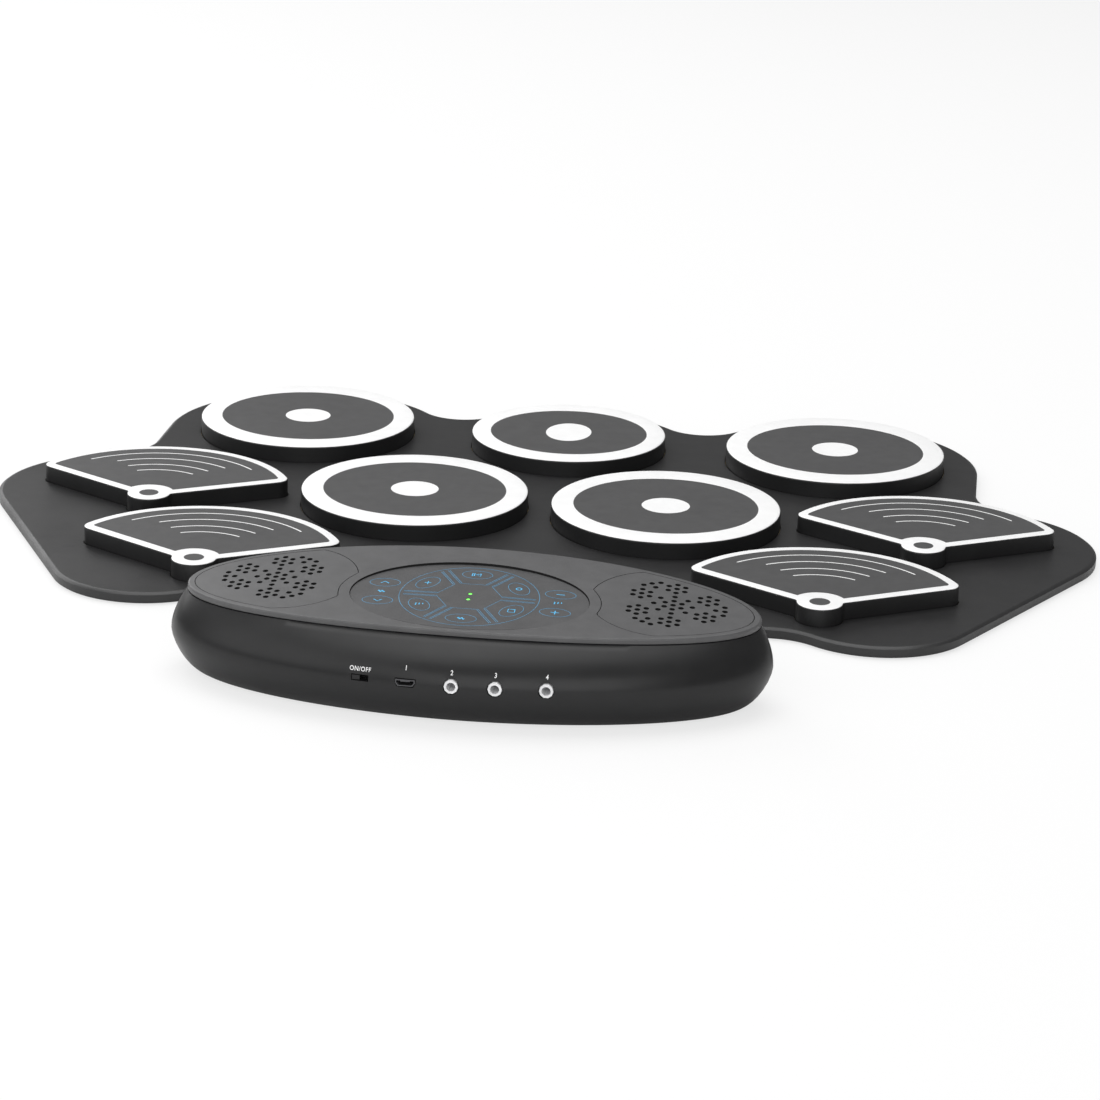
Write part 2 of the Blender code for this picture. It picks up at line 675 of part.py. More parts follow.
def grille_outline(side, grow):
    """Plan of a speaker panel: the cover's edge outside, a round lobe inside, cut back by the oval."""
    centre = (SPEAKER_X, SPEAKER_Y)
    lobe_centre = (SPEAKER_X - GRILLE_LOBE_SHIFT, SPEAKER_Y)
    lobe = GRILLE_LOBE_RADIUS + grow
    edge = GRILLE_INSET - grow
    oval = GRILLE_TOUCH_MARGIN - grow
    points = []
    for step in range(GRILLE_SIDES):
        turn = 2 * math.pi * step / GRILLE_SIDES
        reach = ray_to_ellipse(centre, turn, (0, 0), TOP_HALF_LENGTH - edge, TOP_HALF_DEPTH - edge)
        if math.cos(turn) < 0:
            reach = min(reach, ray_to_ellipse(centre, turn, lobe_centre, lobe, lobe))
            oval_x, oval_y = TOUCH_HALF_LENGTH + oval, TOUCH_HALF_DEPTH + oval
            reach = min(reach, ray_to_ellipse(centre, turn, (0, TOUCH_BACK), oval_x, oval_y))
        points.append((centre[0] + reach * math.cos(turn), centre[1] + reach * math.sin(turn)))
    return points if side > 0 else [(-x, y) for x, y in reversed(points)]


def speaker_holes():
    """Hole centres: seven flowers of seven, a ring of eight between, and three outer groups of four."""
    holes = []
    for petal in range(7):
        reach = 0 if petal == 6 else 4 * HOLE_PITCH
        turn = math.radians(60 * petal + 30)
        middle = (reach * math.cos(turn), reach * math.sin(turn))
        holes.append(middle)
        holes += circle_at(middle, HOLE_PITCH, 6, 30)
    holes += circle_at((0, 0), 2 * HOLE_PITCH, 8, 0)
    for group in range(3):
        for swing, reach in ((-10.5, 5.35), (0, 5.35), (10.5, 5.35), (0, 4.4)):
            turn = math.radians(120 * group + swing)
            holes.append((reach * HOLE_PITCH * math.cos(turn), reach * HOLE_PITCH * math.sin(turn)))
    return holes


def circle_at(middle, radius, count, first):
    turns = [math.radians(first + 360 * step / count) for step in range(count)]
    return [(middle[0] + radius * math.cos(a), middle[1] + radius * math.sin(a)) for a in turns]


def build_cover(datum, top, touch, look):
    """The arched top cover: a chamfered flange, a plug that locates it in the tub, and screw towers."""
    plug = BODY_WALL + PLUG_CLEARANCE
    steps = (
        (plug, -COVER_DEPTH), (plug, -COVER_EDGE), (0, -COVER_EDGE),
        (0, -COVER_CHAMFER), (COVER_CHAMFER, 0),
    )
    rings = []
    for inset, height in steps:
        outline = superellipse(TOP_HALF_LENGTH - inset, TOP_HALF_DEPTH - inset, 2, BODY_SIDES)
        rings.append(level(outline, height))
    cover = add_part("top_cover", crowned(loft(rings)), look, top)

    towers = []
    pilots = []
    for x, y in tower_places():
        low = FLOOR_TOP + BOSS_HEIGHT + GAP
        high = top_height(x, y) - COVER_DEPTH * 0.6
        towers.append(moved(prism(circle(TOWER_RADIUS, SMALL_SIDES), low, high), x, y))
        pilots.append(moved(prism(circle(SCREW_RADIUS + GAP, SCREW_SIDES), low - GAP, low + SCREW_LENGTH), x, y))
    combine(cover, add_cutter("cover_towers", merged(towers), datum), "UNION")
    combine(cover, add_cutter("cover_pilots", merged(pilots), datum), "DIFFERENCE")

    pocket_depth = GRILLE_THICKNESS + CLOTH_THICKNESS + 2 * GAP
    pockets = []
    openings = []
    for side in (-1, 1):
        pockets.append(crowned(prism(grille_outline(side, GAP), -pocket_depth, REACH)))
        opening = circle(SPEAKER_OPENING, SPEAKER_SIDES + 8, (side * SPEAKER_X, SPEAKER_Y))
        openings.append(prism(opening, -REACH, 0))
    combine(cover, add_cutter("grille_pockets", merged(pockets), top), "DIFFERENCE")
    combine(cover, add_cutter("speaker_openings", merged(openings), top), "DIFFERENCE")

    oval = superellipse(
        TOUCH_HALF_LENGTH + PANEL_CLEARANCE, TOUCH_HALF_DEPTH + PANEL_CLEARANCE, 2, ROUND_SIDES
    )
    recess = crowned(prism(oval, -TOUCH_THICKNESS - GAP, REACH))
    combine(cover, add_cutter("touch_recess", recess, touch), "DIFFERENCE")
    window = superellipse(
        TOUCH_HALF_LENGTH - WINDOW_MARGIN, TOUCH_HALF_DEPTH - WINDOW_MARGIN, 2, ROUND_SIDES
    )
    combine(cover, add_cutter("touch_window", prism(window, -REACH, 0), touch), "DIFFERENCE")


def build_grilles(top, look, cloth_look):
    """A perforated panel for each speaker, flush with the cover, over black cloth."""
    for side, word in ((-1, "left"), (1, "right")):
        panel = crowned(prism(grille_outline(side, 0), -GRILLE_THICKNESS, 0))
        grille = add_part(f"speaker_grille_{word}", panel, look, top)
        holes = []
        for x, y in speaker_holes():
            place = (side * (SPEAKER_X + x), SPEAKER_Y + y)
            hole = prism(circle(HOLE_RADIUS, HOLE_SIDES, place), -REACH, REACH)
            holes.append(hole)
        combine(grille, add_cutter(f"grille_holes_{word}", merged(holes), top), "DIFFERENCE")
        high = -GRILLE_THICKNESS - GAP
        cloth = crowned(prism(grille_outline(side, -CLOTH_INSET), high - CLOTH_THICKNESS, high))
        add_part(f"speaker_cloth_{word}", cloth, cloth_look, top)


def build_speakers(top, steel, paper, magnet_look):
    """Two drivers under the cover, square to its arched underside: basket, cone and magnet."""
    slope = math.atan((crown(SPEAKER_X - SPEAKER_OPENING) - crown(SPEAKER_X + SPEAKER_OPENING)) / (
        2 * SPEAKER_OPENING
    ))
    seat = crown(SPEAKER_X) - COVER_DEPTH - BASKET_SEAT
    bowl_floor = -BASKET_DEPTH + BASKET_SHEET
    neck = MAGNET_RADIUS + BASKET_SHEET
    basket = [
        (MAGNET_RADIUS, bowl_floor), (BASKET_BOWL, -BASKET_SHEET), (BASKET_BOWL, 0), (BASKET_RADIUS, 0),
        (BASKET_RADIUS, -BASKET_SHEET), (BASKET_BOWL + BASKET_SHEET, -BASKET_SHEET * 1.5),
        (neck, -BASKET_DEPTH),
    ]
    rim = BASKET_BOWL - GAP
    cone = [
        (rim * 0.16, -0.0050), (rim * 0.32, -0.0070), (rim * 0.84, -0.0012), (rim * 0.92, -0.0001),
        (rim, -0.0003), (rim, -0.0003 - CONE_THICKNESS), (rim * 0.84, -0.0014 - CONE_THICKNESS),
        (rim * 0.32, -0.0072 - CONE_THICKNESS),
    ]
    magnet_top = -BASKET_DEPTH - GAP
    magnet_low = magnet_top - MAGNET_DEPTH
    magnet = [
        (MAGNET_RADIUS, magnet_top), (MAGNET_RADIUS, magnet_low + PAD_EDGE),
        (MAGNET_RADIUS - PAD_EDGE, magnet_low),
    ]
    for side, word in ((-1, "left"), (1, "right")):
        place = (side * SPEAKER_X, SPEAKER_Y, seat)
        mount = add_empty(f"speaker_mount_{word}", top, place, (0, side * slope, 0))
        add_part(f"speaker_basket_{word}", turned(basket, SPEAKER_SIDES), steel, mount)
        add_part(f"speaker_cone_{word}", turned(cone, SPEAKER_SIDES), paper, mount)
        add_part(f"speaker_magnet_{word}", turned(magnet, SPEAKER_SIDES), magnet_look, mount)


def build_touch(top, touch, panel_look, board_look, lamp_look):
    """The oval touch panel, the sensing board under the cover and the two lamps between them."""
    oval = superellipse(TOUCH_HALF_LENGTH, TOUCH_HALF_DEPTH, 2, ROUND_SIDES)
    panel = add_part("touch_panel", crowned(prism(oval, -TOUCH_THICKNESS, 0)), panel_look, touch)
    places = [(0, -LED_SPACING / 2), (0, LED_SPACING / 2)]
    holes = [prism(circle(LED_RADIUS + GAP, SCREW_SIDES, place), -REACH, REACH) for place in places]
    combine(panel, add_cutter("lamp_holes", merged(holes), touch), "DIFFERENCE")

    half_x = TOUCH_HALF_LENGTH - WINDOW_MARGIN + TOUCH_BOARD_OVERLAP
    half_y = TOUCH_HALF_DEPTH - WINDOW_MARGIN + TOUCH_BOARD_OVERLAP
    board_high = crown(half_x) - COVER_DEPTH - GAP
    outline = superellipse(half_x, half_y, 2, ROUND_SIDES)
    board = prism(outline, board_high - BOARD_THICKNESS, board_high)
    add_part("touch_board", board, board_look, top, (0, TOUCH_BACK, 0))
    for place, word in zip(places, ("front", "rear")):
        lamp_low = board_high + GAP + TOUCH_RECESS / 2
        outline = circle(LED_RADIUS, SCREW_SIDES)
        lamp = loft([level(outline, lamp_low), level(outline, -PAD_EDGE / 2)])
        add_part(f"lamp_{word}", lamp, lamp_look, touch, (*place, 0))


def build_boards(datum, board_look, plastic, steel, cell_look):
    """Main board with its connector, the film's tail connector, the ribbon between, and the cell."""
    board = block(
        -BOARD_HALF_LENGTH, BOARD_HALF_LENGTH, CONSOLE_Y + BOARD_FRONT, CONSOLE_Y + BOARD_REAR,
        board_bottom(), board_top(),
    )
    add_part("main_board", board, board_look, datum)
    front = CONSOLE_Y + BOARD_FRONT + CONNECTOR_DEPTH / 2
    low = board_top() + GAP
    box = block(
        -CONNECTOR_HALF_LENGTH, CONNECTOR_HALF_LENGTH, front, front + CONNECTOR_DEPTH,
        low, low + CONNECTOR_HEIGHT,
    )
    add_part("board_connector", box, plastic, datum)
    tail_end = CONSOLE_FRONT + TAIL_INSIDE
    tail_low = FILM_TOP + GAP
    box = block(
        -CONNECTOR_HALF_LENGTH, CONNECTOR_HALF_LENGTH, tail_end - CONNECTOR_DEPTH, tail_end,
        tail_low, tail_low + CONNECTOR_HEIGHT,
    )
    add_part("tail_connector", box, plastic, datum)

    rise_y = tail_end - CONNECTOR_DEPTH / 2
    start_z = tail_low + CONNECTOR_HEIGHT + GAP
    end_z = low + CONNECTOR_HEIGHT / 2
    half = RIBBON_THICKNESS / 2
    outer, inner = [(rise_y - half, start_z)], [(rise_y + half, start_z)]
    for step in range(7):
        turn = math.pi - step * math.pi / 12
        centre = (rise_y + RIBBON_BEND, end_z - RIBBON_BEND)
        for path, radius in ((outer, RIBBON_BEND + half), (inner, RIBBON_BEND - half)):
            path.append((centre[0] + radius * math.cos(turn), centre[1] + radius * math.sin(turn)))
    outer.append((front - GAP, end_z + half))
    inner.append((front - GAP, end_z - half))
    section = outer + inner[::-1]
    ribbon = loft([[(x, y, z) for y, z in section] for x in (-RIBBON_HALF_WIDTH, RIBBON_HALF_WIDTH)])
    add_part("ribbon_cable", ribbon, steel, datum)

    cell = block(
        -BATTERY_LENGTH / 2, BATTERY_LENGTH / 2, -BATTERY_DEPTH / 2, BATTERY_DEPTH / 2,
        0, BATTERY_THICKNESS,
    )
    place = (0, CONSOLE_Y + BATTERY_CENTRE, FLOOR_TOP + GAP)
    battery = add_part("battery_cell", cell, cell_look, datum, place)
    edges = battery.modifiers.new("rounded_edges", "BEVEL")
    edges.width = BATTERY_THICKNESS / 5
    edges.segments = 2


def build_ports(datum, plastic, steel, look):
    """Three jack sockets, the micro USB socket, and the slide switch with its knob."""
    jacks = (("foot_pedal", FOOT_JACK_X), ("headphone", HEADPHONE_JACK_X), ("line_in", LINE_JACK_X))
    for word, x in jacks:
        end = wall_y(x) - GAP
        face = wall_y(x) - PORT_SETBACK
        low, high = -JACK_HEIGHT / 2, JACK_HEIGHT / 2
        housing = block(-JACK_WIDTH / 2, JACK_WIDTH / 2, face - JACK_DEPTH, face, low, high)
        jack = add_part(f"{word}_jack", housing, steel, datum, (x, 0, PORT_HEIGHT))
        nose = along_y(circle(JACK_NOSE_RADIUS, SMALL_SIDES), face - GAP, end)
        bore = along_y(circle(JACK_BORE_RADIUS, SMALL_SIDES), end - JACK_BORE_DEPTH, end + REACH)
        place = (x, 0, PORT_HEIGHT)
        combine(jack, add_cutter(f"{word}_nose", nose, datum, place), "UNION")
        combine(jack, add_cutter(f"{word}_bore", bore, datum, place), "DIFFERENCE")

    end = wall_y(USB_X) - GAP
    place = (USB_X, 0, PORT_HEIGHT)
    usb = add_part("usb_socket", along_y(usb_outline(0), end - USB_DEPTH, end), steel, datum, place)
    foot = block(
        -USB_WIDTH / 2 + USB_TAPER, USB_WIDTH / 2 - USB_TAPER, end - USB_DEPTH, end - PORT_SETBACK,
        board_top() + GAP - PORT_HEIGHT, 0,
    )
    mouth = along_y(usb_outline(-USB_SHELL), end - USB_MOUTH, end + REACH)
    tongue = block(
        -USB_WIDTH / 4, USB_WIDTH / 4, end - USB_MOUTH - GAP, end - USB_SHELL,
        USB_HEIGHT / 8, USB_HEIGHT / 8 + USB_SHELL,
    )
    combine(usb, add_cutter("usb_foot", foot, datum, place), "UNION")
    combine(usb, add_cutter("usb_mouth", mouth, datum, place), "DIFFERENCE")
    combine(usb, add_cutter("usb_tongue", tongue, datum, place), "UNION")

    face = wall_y(SWITCH_X) - PORT_SETBACK
    place = (SWITCH_X, 0, PORT_HEIGHT)
    housing = block(
        -SWITCH_BODY_WIDTH / 2, SWITCH_BODY_WIDTH / 2, face - SWITCH_BODY_DEPTH, face,
        -JACK_HEIGHT / 2, JACK_HEIGHT / 2,
    )
    switch = add_part("switch_body", housing, plastic, datum, place)
    half, height = SWITCH_WINDOW / 2, SWITCH_WINDOW_HEIGHT / 2
    recess = block(-half, half, face - SWITCH_RECESS, face + REACH, -height, height)
    combine(switch, add_cutter("switch_recess", recess, datum, place), "DIFFERENCE")
    knob_x = SWITCH_X + SWITCH_WINDOW / 2 - GAP - KNOB_WIDTH / 2
    knob = block(
        -KNOB_WIDTH / 2, KNOB_WIDTH / 2, face - SWITCH_RECESS + GAP, wall_y(knob_x) - KNOB_RECESS,
        -height + GAP, height - GAP,
    )
    add_part("switch_knob", knob, look, datum, (knob_x, 0, PORT_HEIGHT))


def build_fixings(datum, plastic, steel, rubber):
    """The bar that clamps the mat's neck, its screws, the four case screws and the four feet."""
    low = SHEET_TOP + GAP
    high = low + CLAMP_HEIGHT
    half = CLAMP_HALF_LENGTH
    y0, y1 = clamp_y() - CLAMP_DEPTH / 2, clamp_y() + CLAMP_DEPTH / 2
    bar = add_part("clamp_bar", block(-half, half, y0, y1, FLOOR_TOP + GAP, high), plastic, datum)
    relief_half = NECK_HALF_WIDTH + NECK_CLEARANCE
    relief = block(-relief_half, relief_half, y0 - REACH, y1 + REACH, -REACH, low)
    combine(bar, add_cutter("clamp_relief", relief, datum), "DIFFERENCE")
    bores = []
    for side, word in ((-1, "left"), (1, "right")):
        x = side * CLAMP_SCREW_X
        bores.append(moved(prism(circle(CLAMP_SCREW_RADIUS + GAP, SCREW_SIDES), -REACH, REACH), x, clamp_y()))
        shank_end = BODY_LIFT + BODY_FLOOR / 3 + GAP
        profile = [
            (CLAMP_SCREW_RADIUS, shank_end), (CLAMP_SCREW_RADIUS, high + GAP),
            (CLAMP_HEAD_RADIUS, high + GAP), (CLAMP_HEAD_RADIUS, high + GAP + CLAMP_HEAD_HEIGHT),
        ]
        add_part(f"clamp_screw_{word}", turned(profile, SCREW_SIDES), steel, datum, (x, clamp_y(), 0))
    combine(bar, add_cutter("clamp_bores", merged(bores), datum), "DIFFERENCE")

    names = ("left_front", "left_rear", "right_front", "right_rear")
    for name, (x, y) in zip(names, tower_places()):
        head = BODY_LIFT + GAP
        profile = [
            (SCREW_HEAD_RADIUS, head), (SCREW_HEAD_RADIUS, head + SCREW_HEAD_HEIGHT),
            (SCREW_RADIUS, head + SCREW_HEAD_HEIGHT), (SCREW_RADIUS, head + SCREW_LENGTH),
        ]
        add_part(f"case_screw_{name}", turned(profile, SCREW_SIDES), steel, datum, (x, y, 0))
    for name, (x, y) in zip(names, foot_places()):
        foot_top = BODY_LIFT + FOOT_SINK
        profile = [
            (FOOT_RADIUS - FOOT_SINK, 0), (FOOT_RADIUS, FOOT_SINK), (FOOT_RADIUS, foot_top),
        ]
        add_part(f"foot_{name}", turned(profile, SMALL_SIDES), rubber, datum, (x, y, 0))


def main():
    for old in list(bpy.data.objects):
        bpy.data.objects.remove(old, do_unlink=True)

    silicone = finish("mat_silicone", (0.030, 0.030, 0.031), 0.48)
    backing_look = finish("backing_silicone", (0.022, 0.022, 0.023), 0.6)
    film_look = finish("film_polyester", (0.55, 0.42, 0.20), 0.4)
    pad_look = finish("pad_silicone", (0.075, 0.075, 0.076), 0.55)
    foam_look = finish("foam", (0.05, 0.05, 0.05), 0.9)
    body_look = finish("body_gloss_plastic", (0.022, 0.022, 0.023), 0.2)
    cover_look = finish("cover_satin_plastic", (0.15, 0.15, 0.152), 0.42)
    cloth_look = finish("speaker_cloth", (0.006, 0.006, 0.006), 0.95)
    paper = finish("cone_paper", (0.02, 0.02, 0.02), 0.8)
    steel = finish("plated_steel", (0.62, 0.62, 0.64), 0.28, 1.0)
    magnet_look = finish("magnet_ferrite", (0.05, 0.05, 0.055), 0.5, 0.3)
    panel_look = finish("touch_film", (0.14, 0.14, 0.142), 0.35)
    board_look = finish("board_laminate", (0.02, 0.11, 0.05), 0.45)
    lamp_look = finish("lamp_green", (0.28, 0.80, 0.20), 0.3)
    plastic = finish("connector_plastic", (0.03, 0.03, 0.03), 0.5)
    cell_look = finish("cell_wrap", (0.20, 0.24, 0.30), 0.4)
    ribbon_look = finish("ribbon", (0.60, 0.60, 0.58), 0.5)
    rubber = finish("foot_rubber", (0.015, 0.015, 0.015), 0.8)

    datum = add_empty("kit_datum", None, (0, -ORIGIN_Y, 0))
    top = add_empty("top_frame", datum, (0, TOP_Y, TOP_HEIGHT), (-TOP_TILT, 0, 0))
    touch_tilt = math.atan(TOUCH_RECESS / (2 * TOUCH_HALF_DEPTH))
    touch = add_empty("touch_frame", top, (0, TOUCH_BACK, -TOUCH_RECESS / 2), (touch_tilt, 0, 0))

    build_mat(datum, silicone, backing_look, film_look)
    build_pads(datum, pad_look, foam_look)
    build_body(datum, body_look)
    build_cover(datum, top, touch, cover_look)
    build_grilles(top, cover_look, cloth_look)
    build_speakers(top, steel, paper, magnet_look)
    build_touch(top, touch, panel_look, board_look, lamp_look)
    build_boards(datum, board_look, plastic, ribbon_look, cell_look)
    build_ports(datum, plastic, steel, body_look)
    build_fixings(datum, plastic, steel, rubber)


main()
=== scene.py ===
"""Looks of the roll-up electronic drum kit: a silicone mat with nine printed pads, and its console."""

import math

import bmesh
import bpy
from mathutils import Matrix, Vector


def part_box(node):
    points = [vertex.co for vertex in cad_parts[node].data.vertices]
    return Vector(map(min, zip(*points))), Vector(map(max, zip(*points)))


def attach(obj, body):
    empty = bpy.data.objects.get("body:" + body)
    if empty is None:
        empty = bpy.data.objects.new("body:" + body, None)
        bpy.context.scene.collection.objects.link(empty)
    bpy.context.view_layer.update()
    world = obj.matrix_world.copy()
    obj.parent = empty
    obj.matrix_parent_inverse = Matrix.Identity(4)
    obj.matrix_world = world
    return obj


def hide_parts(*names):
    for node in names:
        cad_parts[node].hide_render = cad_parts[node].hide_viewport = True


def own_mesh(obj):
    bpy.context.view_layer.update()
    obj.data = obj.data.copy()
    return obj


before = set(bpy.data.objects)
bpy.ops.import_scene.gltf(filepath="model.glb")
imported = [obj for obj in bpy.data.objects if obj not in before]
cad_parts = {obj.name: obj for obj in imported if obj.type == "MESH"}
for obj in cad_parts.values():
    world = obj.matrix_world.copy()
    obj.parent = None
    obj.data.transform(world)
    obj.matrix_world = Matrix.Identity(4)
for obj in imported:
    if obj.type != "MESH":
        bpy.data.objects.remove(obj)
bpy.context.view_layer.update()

# Camera, fitted to the photograph: place in metres, turns in degrees, focal length in its pixels
CAMERA_PLACE = (-0.1812, 1.3509, 0.4750)
CAMERA_YAW = 171.708
CAMERA_PITCH = 19.157
CAMERA_ROLL = 1.271
CAMERA_SHIFT = 0.055
CAMERA_CLIP = 0.05
FOCAL_PIXELS = 3373.4
PHOTO_WIDTH = 1100
SENSOR = 36.0

# Studio: each lamp has a name, a place and a width in metres, and a power in watts
LAMPS = (
    ("key", (1.3, -1.2, 1.0), 1.4, 14),
    ("fill", (1.3, 1.0, 1.1), 1.6, 10),
    ("front", (-0.2, 1.6, 0.8), 1.4, 11),
    ("top", (0.1, -0.3, 1.9), 1.8, 25),
)
WORLD_LIGHT = 0.28
FLOOR_GREY = 0.9
FLOOR_GLOW = 0.72
FLOOR_REACH = 12
FLOOR_DROP = 0.0002

# Surfaces: a noise has a scale and a detail
GLOSS_NOISE = (38, 4)
GLOSS_VARY = 0.12
TINT_NOISE = (160, 3)
GRAIN_DETAIL = 2
NOISE_LOW = 0.3
NOISE_HIGH = 0.7
BUMP_STRENGTH = 0.35

# Clearances
GAP = 0.0003
RIM_GAP = 0.0001
PRINT_LIFT = 0.00004

# Mat
SHEET_TOP = 0.005
RIM_ROUND = 0.0019
TRAY_INSET = 0.005
TRAY_HEIGHT = 0.0025
MAT_MARGIN = 0.0155
MIDDLE_MARGIN = 0.015
SCALLOP_RADIUS = 0.0195
SIDE_FILLET = 0.025
SIDE_FILLET_BACK = 0.0735
WING_RADIUS = 0.0503
WING_OUT = 0.023
WING_FORWARD = 0.0257
CORNER_RADIUS = 0.0405
CORNER_OUT = 0.0225
CORNER_FORWARD = 0.013
REAR_MARGIN = 0.0145
REAR_FILLET = 0.025
NECK_HALF_WIDTH = 0.040
NECK_FILLET = 0.008
NECK_REACH = 0.0245
NECK_SIDE_GAP = 0.0005
NECK_SLOT_LOW = 0.0017
NECK_SLOT_DEPTH = 0.038

# Pads
PAD_SINK = 0.0008
PAD_ROUND = 0.0009
PAD_ROUND_START = 1.2
PAD_CLEARANCE = 0.0004
PAD_WALL = 0.0045
PAD_FOOT = 0.0003
DISC_WIDE = 0.807
DISC_DEEP = 0.755
DOT_RADIUS = 0.0105
MIDDLE_DOT = (0.0105, 0.0138)
FAN_RADIUS = 0.061
FAN_ARC_OFFSET = 0.0067
FAN_HALF_ANGLE = math.radians(59)
FAN_ALONG = (math.sin(FAN_HALF_ANGLE), -math.cos(FAN_HALF_ANGLE))
FAN_OUT = (math.cos(FAN_HALF_ANGLE), math.sin(FAN_HALF_ANGLE))
FAN_SIDE_OFFSET = 0.0042
FAN_CORNER = 0.006
FAN_BOSS = 0.0095
FAN_FILLET = 0.002
FAN_BORDER = 0.0043
FAN_EYE = 0.0042
FAN_ARC_CENTRE = 0.0065
FAN_ARCS = ((0.0503, 47), (0.0421, 36), (0.0336, 33), (0.0258, 29.5))
FAN_ARC_WIDTH = 0.00075
NOTCH_GAP = 0.001
NOTCH_DROP = 0.0001
FIELD_PIVOT = 0.9
FOAM_ROUND = 0.0006
FOAM_SHRINK = 0.985
FOAM_GAP = 0.00003

# Console
TOP_HALF_LENGTH = 0.111
TOP_HALF_DEPTH = 0.0382
TOP_HEIGHT = 0.0381
TOP_TILT = math.radians(5.2)
CROWN_RADIUS = 1.39
BULGE_HEIGHT = 0.0165
BULGE_SHIFT = 0.004
BULGE_EXPONENT = 1.9
TUCK_UNDER = 0.0105
TUCK_POWER = 1.5
BODY_LIFT = 0.0008
BODY_WALL = 0.0022
BODY_RISES = (
    -1, -0.985, -0.95, -0.9, -0.82, -0.7, -0.55, -0.35, -0.15,
    0, 0.15, 0.3, 0.45, 0.6, 0.75, 0.9, 1,
)
INNER_RISES = (1, 0.6, 0, -0.6, -0.85)
COVER_EDGE = 0.0024
COVER_ROUND = 0.0009
COVER_CHAMFER = 0.0003
COVER_DEPTH = 0.0038
PLUG_CLEARANCE = 0.0008
GRILLE_INSET = 0.003
GRILLE_THICKNESS = 0.0012
GRILLE_LOBE_RADIUS = 0.0283
GRILLE_LOBE_SHIFT = 0.0035
GRILLE_TOUCH_MARGIN = 0.0048
CLOTH_ROOM = 0.0002
SPEAKER_X = 0.077
SPEAKER_Y = -0.0024
SPEAKER_OPENING = 0.0195
HOLE_PITCH = 0.0037
HOLE_RADIUS = 0.00112

# An outer group of speaker holes: turn from its middle in degrees, and reach in pitches
HOLE_GROUP = ((-10.5, 5.35), (0, 5.35), (10.5, 5.35), (0, 4.4))

# Touch panel and its printed keys
TOUCH_HALF_LENGTH = 0.0458
TOUCH_HALF_DEPTH = 0.0296
TOUCH_BACK = 0.0063
TOUCH_THICKNESS = 0.0012
TOUCH_RECESS = 0.0009
TOUCH_TILT = math.atan(TOUCH_RECESS / (2 * TOUCH_HALF_DEPTH))
WINDOW_MARGIN = 0.006
PANEL_CLEARANCE = 0.00025
KEY_RING = 0.0204
KEY_LINE = 0.00022
SIGN_LINE = KEY_LINE * 1.9
RING_RADIUS = 0.0268
SECTOR_OUTER = 0.0254
SECTOR_INNER = 0.0125
SECTOR_INSET = 0.0011
DOUBLE_LINE = 0.0007
KEY_HALF = (0.0059, 0.0037)
KEY_SIGN = 0.0013
SIDE_KEY_X = 0.0340
SIDE_KEY_Y = 0.0083
SIDE_SIGN = 0.0016

# Lamps of the panel: a lens has steps of a share of its radius and a height
LED_RADIUS = 0.0008
LED_CLEARANCE = 0.00015
LED_SPACING = 0.0051
LED_PROFILE = ((1, -0.0028), (1, -0.0003), (0.85, -0.0001), (0.5, 0))

# Ports in the rear wall
PORT_HEIGHT = 0.018
JACKS = (-0.0008, -0.0171, -0.036)
JACK_RADIUS = 0.0027
USB_X = 0.0165
USB_HALF = (0.0037, 0.0013)
USB_TAPER = 0.0009
SWITCH_X = 0.0339
SWITCH_HALF = (0.0033, 0.0012)
SWITCH_LABEL_RISE = 0.0024
USB_LABEL_RISE = 0.0043
JACK_LABEL_RISE = 0.0040
LABEL_SIZE = 0.0021
LABEL_BOLD = 0.00003
LABEL_SPACING = 1.12

# Facets
SHARP_ANGLE = math.radians(30)
MAT_SHARP_ANGLE = math.radians(50)
ARC_STEP = math.radians(3)
SWEEP_SLACK = 1e-4
LEAST_RADIUS = 0.0006
END_CROWDING = 0.2
BODY_SIDES = 224
RING_SIDES = 160
ROUND_SIDES = 128
OPENING_SIDES = 64
PRINT_SIDES = 48
JACK_SIDES = 40
LED_SIDES = 24
HOLE_SIDES = 20
ARC_POINTS = 40
NOTCH_POINTS = 14
CROWN_STRIPS = 24
HALVINGS = 30
REACH = 0.020

# Material slots of a pad
WALL, TOP, WHITE = range(3)

# Places read from the frame
middle_low, middle_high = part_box("drum_pad_front_middle")
side_low, side_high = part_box("drum_pad_front_right")
fan_low, fan_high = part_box("cymbal_pad_outer_right")
inner_low, inner_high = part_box("cymbal_pad_inner_right")
body_low, body_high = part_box("console_body")
PADS = [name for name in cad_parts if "_pad_" in name]
FRONT_Y = (middle_low[1] + middle_high[1]) / 2
PAD_TOP = middle_high[2]
MIDDLE_PAD_RADIUS = (middle_high[0] - middle_low[0]) / 2
PAD_RADIUS = (side_high[0] - side_low[0]) / 2
SIDE_PAD_X = (side_low[0] + side_high[0]) / 2
OUTER_FAN = ((fan_low[0] + fan_high[0]) / 2, fan_high[1] - FAN_BOSS)
INNER_FAN = ((inner_low[0] + inner_high[0]) / 2, inner_high[1] - FAN_BOSS)
MAT_REAR = INNER_FAN[1] + REAR_MARGIN
BULGE_HALF_LENGTH = (body_high[0] - body_low[0]) / 2
BULGE_HALF_DEPTH = (body_high[1] - body_low[1]) / 2
CONSOLE_Y = (body_low[1] + body_high[1]) / 2
TOP_Y = CONSOLE_Y - BULGE_SHIFT

# Frames that the cover and the touch panel are drawn in
TOP_FRAME = Matrix.Translation((0, TOP_Y, TOP_HEIGHT)) @ Matrix.Rotation(-TOP_TILT, 4, "X")
TOUCH_SEAT = Matrix.Translation((0, TOUCH_BACK, -TOUCH_RECESS / 2))
TOUCH_FRAME = TOP_FRAME @ TOUCH_SEAT @ Matrix.Rotation(TOUCH_TILT, 4, "X")


